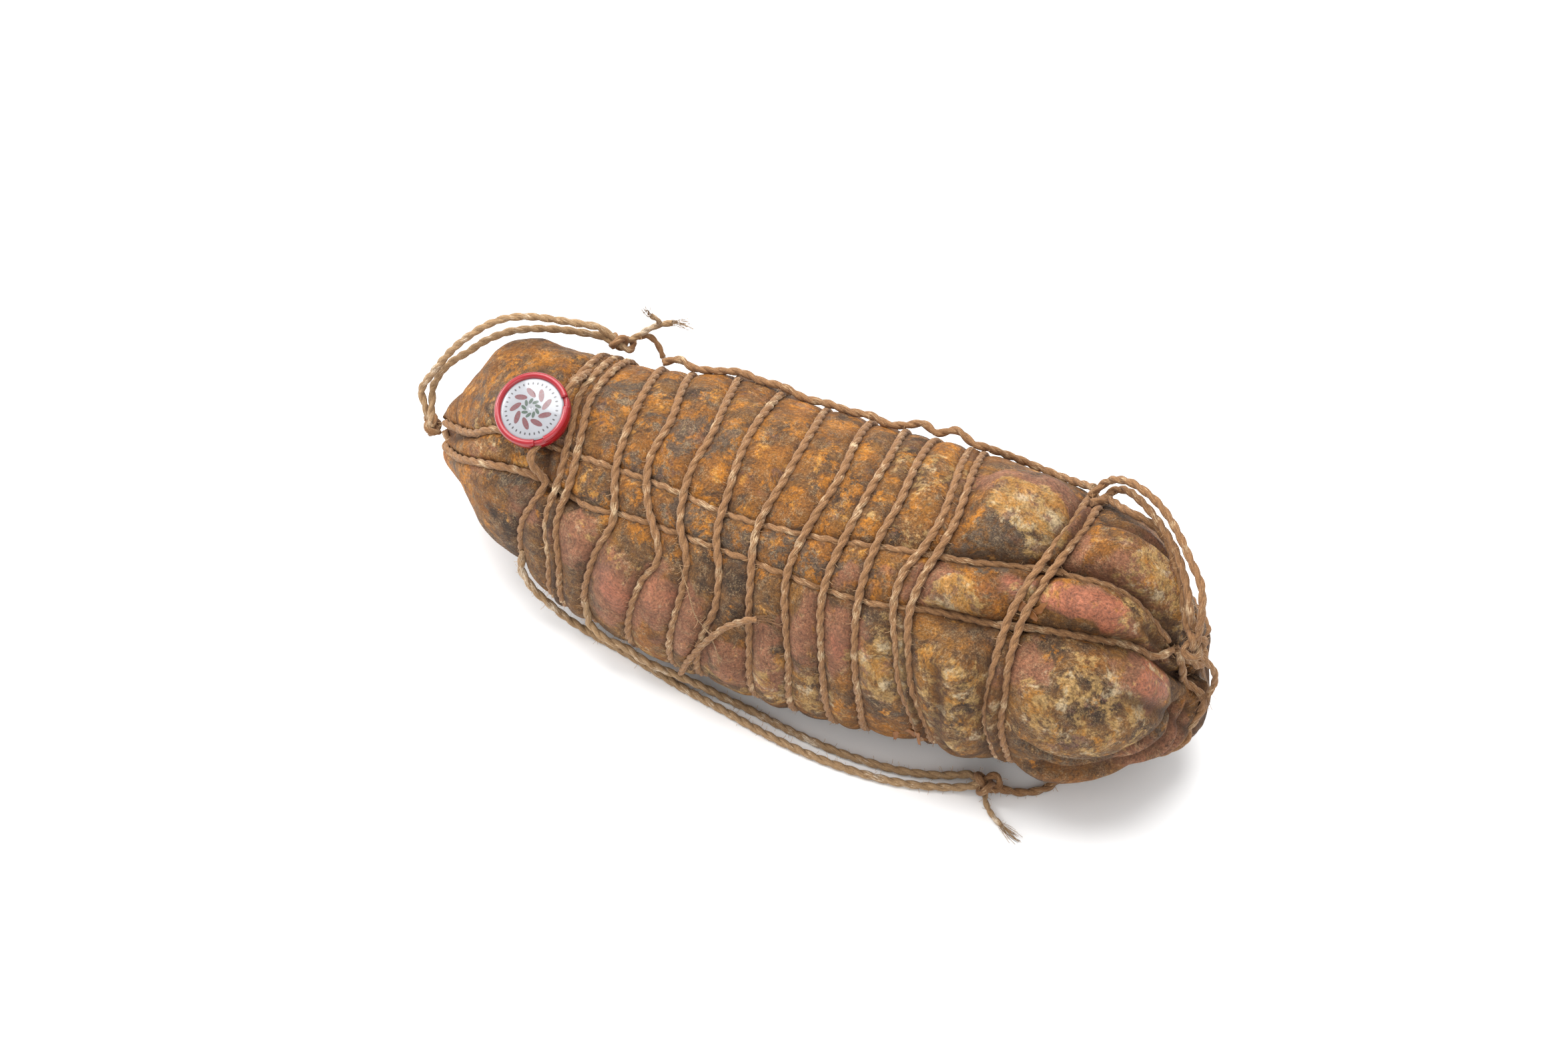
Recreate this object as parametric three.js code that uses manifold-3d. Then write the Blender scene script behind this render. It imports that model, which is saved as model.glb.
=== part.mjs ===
// A whole cured coppa in its casing, tied with twine and carrying a round seal.
// Millimetres, +Z up. The narrow end points to -X and the blunt end to +X; it rests on Z = 0.
import * as THREE from "three";
import { mergeVertices } from "three/addons/utils/BufferGeometryUtils.js";
import Module from "manifold-3d";

const wasm = await Module();
wasm.setup();

// Driving dimensions
const coppaLength = 291; // tip to tip
const coppaGirth = 102; // thickness through the middle
const twineThickness = 2.8;
const clearance = 0.4; // left between pieces that touch
const turnBite = 1.2; // how deep the underside of a turn sinks into the meat
const creaseBank = 1.3; // how far each bank of a lengthwise groove leans out
const sealDiameter = 26;
const sealRimWidth = 2.2;
const sealBackThickness = 1.2;
const sealFaceThickness = 1.2;
const sealDome = 0.9;
const knotSize = 3.3; // radius of the ring that a knot's cord follows
const coloursOf = {
  meat: 0x9a6a3a,
  twine: 0xa87b54,
  paleTwine: 0xd9c0a0,
  sealRed: 0xc81e32,
  sealWhite: 0xe9e9ec,
};

const twineRadius = twineThickness / 2;
const standardLength = 291; // the marks and routes below are read off a coppa of this size
const standardGirth = 102;
const standardTwine = 2.8;
const alongScale = coppaLength / standardLength;
const roundScale = coppaGirth / standardGirth;
const middle = { x: -10, y: -5 }; // from the marks' zero to the middle of the footprint

// The body's shape. A mark is a distance along the casing, an angle goes round it from the top
// towards the front. Past each shoulder the marks run over the rounded end to its tip.
const narrowShoulder = -112;
const bluntShoulder = 92;
const narrowBend = 38; // casing length that turns through one radian
const bluntBend = 44;
const narrowTip = narrowShoulder - (narrowBend * Math.PI) / 2;
const bluntTip = bluntShoulder + (bluntBend * Math.PI) / 2;

// mark, radius, sideways place of the axis, height of the axis
const stations = [
  [-172, 42, 9, 38],
  [-148, 31.5, 9, 41],
  [-128, 32, 8, 42],
  [-112, 35.5, 7, 42.5],
  [-85, 39.5, 3, 42],
  [-50, 44, 0, 43],
  [0, 46.5, -4, 45.3],
  [45, 47.5, -4.5, 46.2],
  [92, 44.5, -3.5, 45.4],
  [125, 42, -3, 44.5],
  [161, 43.5, -3, 43],
];

// Turns of twine round the girth: angle, mark
const turns = {
  seal_turn: [
    [-60, -99], [-20, -96], [5, -96.5], [34, -94], [56, -91.5], [66, -94], [80, -98],
    [95, -100], [130, -101], [190, -100], [250, -99],
  ],
  collar_turn_a: [
    [-60, -93.5], [-20, -91.5], [8, -91], [22, -88.5], [38, -87], [50, -86.5], [72, -88.5],
    [84, -87.8], [96, -86.5], [130, -87.5], [190, -92], [250, -94],
  ],
  collar_turn_b: [
    [-60, -89], [-20, -87.2], [8, -86.8], [22, -84.4], [38, -82.5], [50, -82], [72, -84.2],
    [84, -83.3], [96, -82], [130, -82.5], [190, -87.5], [250, -89.5],
  ],
  turn_1: [
    [-60, -77], [-20, -72], [4, -69.5], [34, -67], [58, -62.5], [76, -67], [108, -71.5],
    [124, -70.5], [160, -70], [200, -73], [250, -77],
  ],
  turn_2: [
    [-60, -66], [-20, -60], [6, -55.5], [28, -56], [46, -51], [60, -44], [68, -43], [80, -48],
    [106, -52.5], [130, -54], [170, -57], [250, -65],
  ],
  turn_3: [
    [-60, -49], [-20, -43], [6, -39.5], [28, -40.5], [48, -38], [62, -32.5], [78, -32.5],
    [106, -36], [140, -38], [180, -42], [250, -48],
  ],
  turn_4: [
    [-60, -31], [-18, -28], [6, -27], [30, -25], [48, -24], [62, -20], [78, -19.5], [92, -23],
    [118, -27], [150, -27], [200, -28], [250, -30],
  ],
  turn_5: [
    [-60, -15], [-14, -9], [16, -8.5], [40, -11], [64, -8], [90, -6], [118, -6], [150, -6],
    [200, -10], [250, -15],
  ],
  turn_6: [
    [-60, 2], [-10, 7], [10, 8.5], [40, 4.5], [55, 3.5], [76, 7], [92, 8.5], [126, 7.5],
    [180, 4], [250, 0],
  ],
  turn_7: [
    [-60, 14], [-10, 20], [20, 19.5], [54, 17], [80, 20], [110, 22], [130, 22], [180, 19],
    [250, 13],
  ],
  turn_8: [
    [-60, 26], [-10, 29.5], [12, 31], [28, 29.5], [50, 29], [72, 31], [104, 34], [130, 33],
    [180, 31], [250, 27],
  ],
  turn_9_a: [
    [-60, 38], [-22, 42], [10, 46], [26, 44.5], [38, 41], [52, 41], [68, 45], [84, 48],
    [98, 51.5], [112, 53], [140, 52], [180, 48], [250, 42],
  ],
  turn_9_b: [
    [-60, 42.5], [-22, 46.5], [10, 50.5], [26, 49.4], [38, 47.4], [52, 46.6], [68, 49], [84, 52],
    [98, 55.5], [112, 57], [140, 56], [180, 52], [250, 46.5],
  ],
  end_turn_a: [
    [-60, 82], [-10, 84.5], [10, 82.5], [32, 79], [44, 77.5], [62, 77], [88, 77], [110, 79],
    [150, 79], [200, 80], [250, 81],
  ],
  end_turn_b: [
    [-60, 86.2], [-10, 88.8], [10, 86.8], [32, 83.2], [44, 81.7], [62, 81.4], [76, 82.4],
    [88, 82], [110, 83.3], [150, 83.3], [200, 84.4], [250, 85.2],
  ],
};

// Strands that run from tip to tip in creases, under the turns: mark, angle
const strands = {
  strand_front_upper: [
    [-172, 60], [-150, 56], [-132, 50], [-115, 41], [-82, 36], [-47, 36], [-25, 38], [3, 36],
    [27, 32], [55, 26], [81, 18], [95, 15], [112, 13], [129, 16], [161, 20],
  ],
  strand_front_lower: [
    [-172, 100], [-150, 84], [-132, 70], [-117, 62], [-97, 55], [-73, 57], [-58, 54], [-32, 53],
    [-12, 53], [31, 54], [51, 50], [71, 48], [86, 44], [107, 40], [121, 37], [134, 40], [161, 60],
  ],
  strand_under: [
    [-172, 160], [-130, 150], [-80, 143], [0, 140], [60, 144], [100, 148], [161, 160],
  ],
  strand_back: [
    [-172, 280], [-130, 262], [-80, 252], [0, 248], [60, 252], [100, 260], [161, 290],
  ],
};
const openColumns = [1, 8, 8, 9]; // columns of the body's grid between one strand and the next

// Broad swellings and hollows of the trunk, which the turns follow:
// mark, angle, half length, half angle, rise
const swells = [
  [-46, 124, 66, 54, 6.6],
  [-133, -26, 22, 44, 3.6],
  [-42, -54, 26, 34, 3.4],
  [-108, -42, 14, 26, -1.8],
  [126, -54, 30, 44, -4.2],
  [142, 176, 34, 74, 6.8],
  [-136, 116, 18, 32, -2.6],
  [14, 132, 44, 44, 4.2],
  [-86, 122, 20, 30, 3],
];

// Bulges of meat between the ties: mark, angle, half length, half angle, rise
const bulges = [
  [70, 0, 22, 30, 5],
  [110, 5, 26, 38, 4],
  [102, 27, 22, 13, 3],
  [60, 39, 16, 10, 2.5],
  [66, 95, 20, 42, 4.5],
  [108, 95, 30, 50, 6],
  [138, 110, 22, 60, 4],
  [-118, -15, 26, 60, 2],
  [-95, 115, 24, 36, 2],
];
const commonRise = 1; // of the meat everywhere between two turns
const frontRise = 1.5; // more, on the lower front
const tipFade = 18; // over this length the bulges run out to each tip

// Twine that runs free: points in millimetres, from the narrow end's side to the blunt end's
const routes = {
  hanging_loop_outer: [
    [-161, 10.5, 46], [-159.5, 11, 50], [-156.5, 12, 55], [-153, 13, 61], [-149, 14.5, 67],
    [-145, 16, 72], [-141, 17.5, 76], [-137.5, 19, 79], [-133.5, 20.5, 81.5], [-130, 22, 83],
    [-126, 23.5, 83.8], [-122, 25, 84], [-117.5, 26.5, 83.7], [-113.5, 28, 83], [-106, 30.5, 82],
    [-100.5, 32.5, 81],
  ],
  hanging_loop_inner: [
    [-158.3, 14.5, 46], [-156.5, 14.7, 50], [-154, 15, 55], [-149.5, 16.5, 60.5],
    [-144, 18, 65.5], [-140.5, 19.5, 69], [-136.6, 21, 72], [-133, 22.5, 74],
    [-129.5, 24, 75.5], [-122, 27, 76.8], [-113, 30, 77], [-106, 32, 76.5], [-100.5, 33.5, 76],
  ],
  long_loop_lower: [
    [-100.1, -34, 23.8], [-95.2, -35.1, 17.5], [-89, -34.6, 11.5], [-83, -34, 6.5],
    [-76, -33.8, 3.2], [-70, -34.3, 1.8], [-62, -35.8, 1.7], [-50, -39, 1.7],
    [-34, -43.2, 1.7], [-18, -46.5, 1.7], [-2, -50, 1.7], [11, -52, 1.7],
    [23, -53, 1.7], [35, -53, 1.7], [46, -52, 1.7], [56, -49.8, 1.7],
    [65, -46.8, 2], [69.8, -45.2, 2.8],
  ],
  long_loop_upper: [
    [-69.4, -43.5, 19.4], [-62.5, -45.5, 16.8], [-55.2, -44.7, 14.9], [-48.2, -45.1, 11.9],
    [-41.1, -43.9, 9], [-34, -42.4, 6.2], [-27.5, -41.3, 3.6], [-20, -41.4, 1.9],
    [-10, -42.6, 1.7], [3, -45, 1.7], [14, -46.6, 1.7], [24, -47.5, 1.7], [35, -47.6, 1.7],
    [47, -46.6, 1.7], [58, -43.8, 1.7],
    [65, -41.2, 2.2], [69.4, -39.6, 3.2],
  ],
  end_loop_outer: [
    [87.5, 24, 90], [91.7, 22, 95], [98.3, 19.5, 98], [106.8, 16, 97.5], [113.4, 12, 95.5],
    [119.6, 7, 92.5], [124.6, 2, 90], [129.9, -3, 87], [132.4, -7.5, 83.5], [133.6, -11, 79.5],
  ],
  end_loop_middle: [
    [90.5, 25.5, 86.5], [95, 23.5, 90], [100.5, 19.5, 92], [107, 15, 91.8], [113, 10.5, 90.2],
    [118.8, 6, 87], [123.5, 0.5, 84], [127, -4.5, 80.5], [129.3, -8.8, 78],
  ],
  end_loop_inner: [
    [90.4, 21, 86.2], [94.5, 17.2, 88.8], [98.9, 14.2, 90.4], [103, 14.2, 89.6], [106.8, 14.4, 88],
    [110, 14, 86.4], [113, 12.6, 84.8], [116.3, 8.6, 84.1], [119, 4.4, 83.5], [121.5, 1.2, 81.2],
  ],
};
const freeSides = 8;
const freeStep = 3; // in thicknesses of the twine

// Knots: the mark and angle of each and how far off the trunk, or its point on the table
const knots = {
  tip_knot: { at: [-171, 0], off: 5 },
  top_knot: { at: [-93, -43], off: 7 },
  end_knot: { at: [137, 20], off: 6.6 },
  table_knot: { point: [76.5, -42.5, 4.9] },
};

const radians = THREE.MathUtils.degToRad;

// Smooth run through a list of [where, value, ...] rows
function smoothRun(rows, where, column = 1) {
  const x = THREE.MathUtils.clamp(where, rows[0][0], rows.at(-1)[0]);
  let i = rows.findIndex((row) => row[0] > x) - 1;
  if (i < 0) i = rows.length - 2;
  const slope = (k) => {
    const before = rows[Math.max(k - 1, 0)];
    const after = rows[Math.min(k + 1, rows.length - 1)];
    return (after[column] - before[column]) / (after[0] - before[0]);
  };
  const span = rows[i + 1][0] - rows[i][0];
  const t = (x - rows[i][0]) / span;
  return (
    (1 + 2 * t) * (1 - t) ** 2 * rows[i][column] +
    t * (1 - t) ** 2 * span * slope(i) +
    t * t * (3 - 2 * t) * rows[i + 1][column] +
    t * t * (t - 1) * span * slope(i + 1)
  );
}

// The same for rows of [angle, value] that close on themselves after a full turn
function smoothRound(rows, angle) {
  const from = rows[0][0];
  const a = ((((angle - from) % 360) + 360) % 360) + from;
  const moved = (row, by) => [row[0] + by, row[1]];
  const looped = [moved(rows.at(-1), -360), ...rows, moved(rows[0], 360), moved(rows[1], 360)];
  return smoothRun(looped, a);
}

const clamp01 = (v) => THREE.MathUtils.clamp(v, 0, 1);
const angleBetween = (a, b) => ((((a - b + 180) % 360) + 360) % 360) - 180;

// Radius of the casing where no tie pulls it in
function radiusOfTrunk(mark) {
  return smoothRun(stations, mark);
}

// How far the meat bulges between ties
function riseAt(mark, angle) {
  const front = clamp01((angle - 50) / 20) * clamp01((160 - angle) / 20);
  let rise = commonRise + frontRise * front;
  for (const [at, around, halfLength, halfAngle, height] of bulges) {
    const q = ((mark - at) / halfLength) ** 2 + (angleBetween(angle, around) / halfAngle) ** 2;
    if (q < 1) rise = Math.max(rise, height * Math.sqrt(1 - q));
  }
  const toTips = clamp01((mark - narrowTip) / tipFade) * clamp01((bluntTip - mark) / tipFade);
  return rise * toTips * roundScale;
}

// How far the trunk swells out of its round section
function swellAt(mark, angle) {
  return swells.reduce((total, [at, around, halfLength, halfAngle, rise]) => {
    const q = ((mark - at) / halfLength) ** 2 + (angleBetween(angle, around) / halfAngle) ** 2;
    return total + rise * Math.max(1 - q, 0) ** 2;
  }, 0);
}

// The middle of the casing's section, before the coppa is brought to its size
const axisAt = (shoulder, mark) =>
  new THREE.Vector3(shoulder, smoothRun(stations, mark, 2), smoothRun(stations, mark, 3));
const toSize = (point) =>
  point.sub(new THREE.Vector3(middle.x, middle.y, 0))
    .multiply(new THREE.Vector3(alongScale, roundScale, roundScale));

// A point over the casing: its mark and angle, and its distance off the trunk along the ray
function pointOver(mark, angle, off) {
  const shoulder = THREE.MathUtils.clamp(mark, narrowShoulder, bluntShoulder);
  const bend = mark < narrowShoulder ? narrowBend : bluntBend;
  const lean = (mark - shoulder) / bend;
  const a = radians(angle);
  const out = new THREE.Vector3(
    Math.sin(lean),
    -Math.cos(lean) * Math.sin(a),
    Math.cos(lean) * Math.cos(a),
  );
  const point = axisAt(shoulder, mark).addScaledVector(out, radiusOfTrunk(mark) + swellAt(mark, angle));
  return toSize(point).addScaledVector(out, off);
}

// A free point of a route, moved with the size of the coppa and kept off it by the twine's own
function placed([x, y, z]) {
  const shoulder = THREE.MathUtils.clamp(x, narrowShoulder, bluntShoulder);
  const point = new THREE.Vector3(x, y, z);
  const away = point.clone().sub(axisAt(shoulder, shoulder)).normalize();
  toSize(point).addScaledVector(away, (twineThickness - standardTwine * roundScale) / 2);
  point.z = Math.max(point.z, twineRadius + 0.2);
  return point;
}

const material = (color, roughness) => new THREE.MeshStandardMaterial({ color, roughness });

const coppa = new THREE.Group();
function addNode(name, geometry, color, roughness) {
  const mesh = new THREE.Mesh(geometry, material(color, roughness));
  mesh.name = name;
  coppa.add(mesh);
  return mesh;
}

// Twine goes straight from each of its points to the next
class TwineRoute extends THREE.CatmullRomCurve3 {
  getUtoTmapping(u) {
    return u;
  }
  getTangent(t, target = new THREE.Vector3()) {
    if (!this.closed) return super.getTangent(t, target);
    const step = 1e-3; // both ways across the join of a ring
    const ahead = this.getPoint((t + step) % 1);
    return target.subVectors(ahead, this.getPoint((t + 1 - step) % 1)).normalize();
  }
}

// One length of twine through the points, closed into a ring or with flat ends
function twine(points, { closed = false, radius = twineRadius, sides = 6 } = {}) {
  const section = new THREE.Shape();
  for (let i = 0; i < sides; i++) {
    const a = ((i + 0.5) / sides) * 2 * Math.PI;
    section[i ? "lineTo" : "moveTo"](radius * Math.cos(a), radius * Math.sin(a));
  }
  section.closePath();
  const geometry = new THREE.ExtrudeGeometry(section, {
    extrudePath: new TwineRoute(points, closed),
    steps: closed ? points.length : points.length - 1,
    curveSegments: 1,
  });
  if (!closed) return geometry;
  const walls = geometry.groups[1]; // a ring has no end faces
  const positions = geometry.getAttribute("position").array;
  const kept = positions.slice(walls.start * 3, (walls.start + walls.count) * 3);
  return new THREE.BufferGeometry().setAttribute("position", new THREE.BufferAttribute(kept, 3));
}

// Joins and cuts
function solidOf(geometry) {
  const bare = geometry.index ? geometry.toNonIndexed() : geometry.clone();
  bare.deleteAttribute("normal");
  bare.deleteAttribute("uv");
  const merged = mergeVertices(bare, 1e-3);
  return new wasm.Manifold(
    new wasm.Mesh({
      numProp: 3,
      vertProperties: merged.getAttribute("position").array,
      triVerts: new Uint32Array(merged.index.array),
    }),
  );
}

function geometryOf(solid) {
  const made = solid.getMesh();
  const geometry = new THREE.BufferGeometry();
  geometry.setAttribute("position", new THREE.BufferAttribute(made.vertProperties, 3));
  geometry.setIndex(new THREE.BufferAttribute(made.triVerts, 1));
  return geometry;
}

// Levels off the trunk, from the clearances between the pieces
const wallDistance = twineRadius + clearance;
const turnLevel = twineRadius - turnBite; // centre of a turn
const valleyLevel = turnLevel - 1.42 * wallDistance; // bottom of the groove under it
const strandLevel = turnLevel - twineThickness - clearance; // centre of a strand under a turn
const creaseLevel = strandLevel - wallDistance; // floor of the groove under that strand
const creaseWidth = 2 * wallDistance + 0.9;
const shoulderGap = 2.2 * wallDistance; // from a turn's centre line to the top of its groove
const shoulderRise = 0.8; // the most that the meat bulges there
const ridgeRise = 0.8; // of the meat between two turns that lie side by side
const restLift = twineRadius + 0.25; // least height of a turn's centre, under the coppa
const valleyLift = restLift + 1.6 * wallDistance; // and of the groove over it
const wideGap = 9; // turns nearer than this have no bulge between them
const endRows = 9; // of the body's grid on each rounded end

// How far a lengthwise strand is sunk, from 1 on the trunk to 0 on the rounded ends
const sinkFade = 16;
const narrowSunk = -130;
const bluntSunk = 108;
function sunk(mark) {
  const narrow = clamp01((mark - narrowSunk + sinkFade) / sinkFade);
  const blunt = clamp01((bluntSunk + sinkFade - mark) / sinkFade);
  return Math.min(narrow, blunt);
}

const strandNames = Object.keys(strands);
const turnNames = Object.keys(turns);
const markOfTurn = (name, angle) => smoothRound(turns[name], angle);

function leanAt(mark) {
  if (mark < narrowShoulder) return (mark - narrowShoulder) / narrowBend;
  return Math.max(mark - bluntShoulder, 0) / bluntBend;
}

// Columns of the body's grid at a mark: four for each strand, and the open ones between
function columnsAt(mark) {
  const ringRadius = radiusOfTrunk(mark) * roundScale * Math.max(Math.cos(leanAt(mark)), 0.42);
  const floor = THREE.MathUtils.radToDeg(creaseWidth / 2 / ringRadius);
  const bank = THREE.MathUtils.radToDeg((creaseWidth / 2 + creaseBank) / ringRadius);
  const angles = strandNames.map((name) => smoothRun(strands[name], mark));
  const gapAfter = angles.map((angle, i) => (angles[i + 1] ?? angles[0] + 360) - angle);
  const columns = [];
  angles.forEach((angle, i) => {
    const tightest = Math.min(gapAfter[i], gapAfter.at(i - 1));
    const share = Math.min(1, tightest / (2.6 * bank));
    columns.push({ angle: angle - bank * share, kind: "bank" });
    columns.push({ angle: angle - floor * share, kind: "floor" });
    columns.push({ angle: angle + floor * share, kind: "floor" });
    columns.push({ angle: angle + bank * share, kind: "bank" });
    const nextTightest = Math.min(gapAfter[i], gapAfter[(i + 1) % angles.length]);
    const nextShare = Math.min(1, nextTightest / (2.6 * bank));
    const from = angle + bank * share;
    const to = angle + gapAfter[i] - bank * nextShare;
    for (let k = 1; k <= openColumns[i]; k++) {
      columns.push({ angle: from + ((to - from) * k) / (openColumns[i] + 1), kind: "open" });
    }
  });
  return columns;
}

// Rows of the body's grid. Each one follows its neighbouring turns round the girth.
function rowsOfBody() {
  const rows = [];
  const beside = (name, by) => (angle) => markOfTurn(name, angle) + by;
  const between = (from, to, share) => (angle) => from(angle) + (to(angle) - from(angle)) * share;
  const firstShoulder = beside(turnNames[0], -shoulderGap);
  for (let k = 1; k <= endRows; k++) {
    const kind = k < endRows ? "open" : "shoulder";
    rows.push({ kind, mark: between(() => narrowTip, firstShoulder, k / endRows) });
  }
  turnNames.forEach((name, i) => {
    rows.push({ kind: "valley", turn: name, mark: beside(name, 0) });
    const next = turnNames[i + 1];
    if (!next) return;
    const spacing = markOfTurn(next, 45) - markOfTurn(name, 45);
    if (spacing < wideGap) {
      rows.push({ kind: "ridge", mark: between(beside(name, 0), beside(next, 0), 0.5) });
      return;
    }
    const inset = (angle) =>
      Math.min(shoulderGap, 0.4 * (markOfTurn(next, angle) - markOfTurn(name, angle)));
    const from = (angle) => markOfTurn(name, angle) + inset(angle);
    const to = (angle) => markOfTurn(next, angle) - inset(angle);
    rows.push({ kind: "shoulder", mark: from });
    const crowns = spacing > 2 * wideGap ? 3 : 1;
    for (let k = 1; k <= crowns; k++) {
      rows.push({ kind: "open", mark: between(from, to, k / (crowns + 1)) });
    }
    rows.push({ kind: "shoulder", mark: to });
  });
  const lastShoulder = beside(turnNames.at(-1), shoulderGap);
  for (let k = 0; k < endRows; k++) {
    const kind = k ? "open" : "shoulder";
    rows.push({ kind, mark: between(lastShoulder, () => bluntTip, k / endRows) });
  }
  return rows;
}

// The columns along a row, each with the row's own mark there
function cellsOf(row) {
  return columnsAt(row.mark(0)).map(({ kind, angle: first }, i) => {
    let angle = first;
    for (let pass = 0; pass < 3; pass++) angle = columnsAt(row.mark(angle))[i].angle;
    return { kind, angle, mark: row.mark(angle) };
  });
}

// How far off the trunk the meat stands at a cell of the grid
function meatLevel(row, cell) {
  let level = riseAt(cell.mark, cell.angle);
  if (row.kind === "shoulder") level = Math.min(level, shoulderRise);
  if (row.kind === "valley") level = valleyLevel;
  if (row.kind === "ridge") level = valleyLevel + ridgeRise;
  const depth = sunk(cell.mark);
  if (cell.kind === "bank" && level > 0) level *= 1 - 0.65 * depth;
  if (cell.kind === "floor") level += (creaseLevel - level) * depth;
  return level;
}

function meatPoint(row, cell) {
  const point = pointOver(cell.mark, cell.angle, meatLevel(row, cell));
  const least = row.kind === "valley" || row.kind === "ridge" ? valleyLift : 0;
  point.z = Math.max(point.z, least);
  return point;
}

const rows = rowsOfBody();
const grid = rows.map((row) => cellsOf(row));

// The meat in its casing: one closed skin over the whole grid
function meatGeometry() {
  const across = grid[0].length;
  const points = rows.flatMap((row, r) => grid[r].map((cell) => meatPoint(row, cell)));
  const narrowPole = points.push(pointOver(narrowTip, 0, 0)) - 1;
  const bluntPole = points.push(pointOver(bluntTip, 0, 0)) - 1;
  const faces = [];
  for (let c = 0; c < across; c++) {
    const d = (c + 1) % across;
    faces.push(narrowPole, d, c);
    for (let r = 0; r + 1 < rows.length; r++) {
      const here = r * across;
      const next = here + across;
      faces.push(here + c, here + d, next + c, here + d, next + d, next + c);
    }
    const last = (rows.length - 1) * across;
    faces.push(bluntPole, last + c, last + d);
  }
  const geometry = new THREE.BufferGeometry().setFromPoints(points);
  geometry.setIndex(faces);
  return geometry;
}

// A frame for a piece that lies on the casing: its middle, and where its own axes point
function placeOn(mark, angle, off, tilt = new THREE.Vector3()) {
  const middlePoint = pointOver(mark, angle, off);
  const along = pointOver(mark + 3, angle, off).sub(pointOver(mark - 3, angle, off));
  const round = pointOver(mark, angle + 3, off).sub(pointOver(mark, angle - 3, off));
  const out = round.cross(along).normalize().add(tilt).normalize();
  const forward = along.addScaledVector(out, -along.dot(out)).normalize();
  const side = new THREE.Vector3().crossVectors(out, forward);
  return new THREE.Matrix4().makeBasis(forward, side, out).setPosition(middlePoint);
}

// The seal, clipped round the turn of twine that runs through it
const sealRadius = sealDiameter / 2;
const sealEdgeMark = -88.3; // of the edge beside the collar's turns
const sealMark = sealEdgeMark - sealRadius;
const sealAngle = 27;
const sealTilt = new THREE.Vector3(0.2, -0.06, 0); // it leans towards the blunt end
const sealOff = 4.6 + sealTilt.x * sealRadius;
const sealTwineAt = sealRadius - 5.6; // from the seal's middle to the twine through it
const sealFrame = placeOn(sealMark, sealAngle, sealOff, sealTilt);
const inSeal = (x, y, z) => new THREE.Vector3(x, y, z).applyMatrix4(sealFrame);
const sealTwineReach = sealDiameter / 2 + 2;
const sealTwine = [1, 0.4, -0.4, -1].map((share) =>
  inSeal(sealTwineAt, share * sealTwineReach, 0),
);

// The turns, each in its groove; the seal's turn rises through the seal
function turnPoints(name) {
  const r = rows.findIndex((row) => row.turn === name);
  const points = grid[r]
    .filter((cell) => cell.kind !== "floor")
    .map((cell) => {
      const point = pointOver(cell.mark, cell.angle, turnLevel);
      point.z = Math.max(point.z, restLift);
      return { angle: cell.angle, point };
    });
  if (name !== "seal_turn") return points.map(({ point }) => point);
  const halfAngle = 27; // the turn leaves the casing this far to each side of the seal
  const near = ({ angle }) => Math.abs(angleBetween(angle, sealAngle)) < halfAngle;
  const outside = points.filter((p) => !near(p));
  const after = outside.findIndex((p) => angleBetween(p.angle, sealAngle) >= halfAngle);
  const ordered = [...outside.slice(after), ...outside.slice(0, after)];
  return [...sealTwine, ...ordered.map(({ point }) => point)];
}

// The strands, each along the floor of its crease
function strandPoints(name, from, to) {
  const i = strandNames.indexOf(name);
  const points = [];
  rows.forEach((row, r) => {
    if (row.kind === "ridge" || row.kind === "shoulder") return;
    const floors = grid[r].filter((cell) => cell.kind === "floor");
    const [left, right] = [floors[2 * i], floors[2 * i + 1]];
    const mark = (left.mark + right.mark) / 2;
    if (mark < from || mark > to) return;
    const cell = { kind: "floor", mark, angle: (left.angle + right.angle) / 2 };
    const level = meatLevel(row, cell) + wallDistance + 0.5 * (1 - sunk(mark));
    points.push(pointOver(mark, cell.angle, level));
  });
  return points;
}

// Twine that the coppa doesn't hold: even steps along its route
function freeTwine(route) {
  const curve = new THREE.CatmullRomCurve3(route.map(placed), false, "centripetal");
  const steps = Math.round(curve.getLength() / (freeStep * twineThickness));
  return twine(curve.getSpacedPoints(steps), { sides: freeSides });
}

// The running line along the back joins turn to turn, over them, in small arches
const runningAngle = -40;
const runningLevel = turnLevel + twineThickness + clearance + 0.5;
const runningFrom = "turn_1";
const runningTo = "end_turn_a";
const archOver = { turn_1: 3, turn_7: 3, turn_8: 3, turn_9_b: 2 };
function runningPoints() {
  const points = [];
  const names = turnNames.slice(turnNames.indexOf(runningFrom), turnNames.indexOf(runningTo) + 1);
  names.forEach((name, i) => {
    const here = markOfTurn(name, runningAngle);
    points.push(pointOver(here, runningAngle, runningLevel));
    if (i + 1 === names.length) return;
    const next = markOfTurn(names[i + 1], runningAngle);
    const count = next - here > 2 * wideGap ? 3 : 1;
    for (let k = 1; k <= count; k++) {
      const share = k / (count + 1);
      const mark = here + (next - here) * share;
      const arch = (archOver[name] ?? 0) * Math.sin(share * Math.PI);
      const level = Math.max(runningLevel, riseAt(mark, runningAngle) + wallDistance + 0.6);
      points.push(pointOver(mark, runningAngle, level + arch));
    }
  });
  return points;
}

// A knot: a cord that passes round and through itself
function knotGeometry(place) {
  const geometry = new THREE.TorusKnotGeometry(knotSize, twineRadius * 0.93, 32, 6, 2, 3);
  return geometry.applyMatrix4(place);
}

// Seal pieces, round their own Z axis
const sealInner = sealRadius - sealRimWidth;
const lathe = (profile) =>
  new THREE.LatheGeometry(profile.map(([r, z]) => new THREE.Vector2(r, z)), 32)
    .rotateX(Math.PI / 2);

function sealBack() {
  const top = -wallDistance;
  const low = top - sealBackThickness;
  const r = sealRadius - 0.5;
  return lathe([[0, low], [r - 0.5, low], [r, low + 0.5], [r, top], [0, top]]);
}

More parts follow.
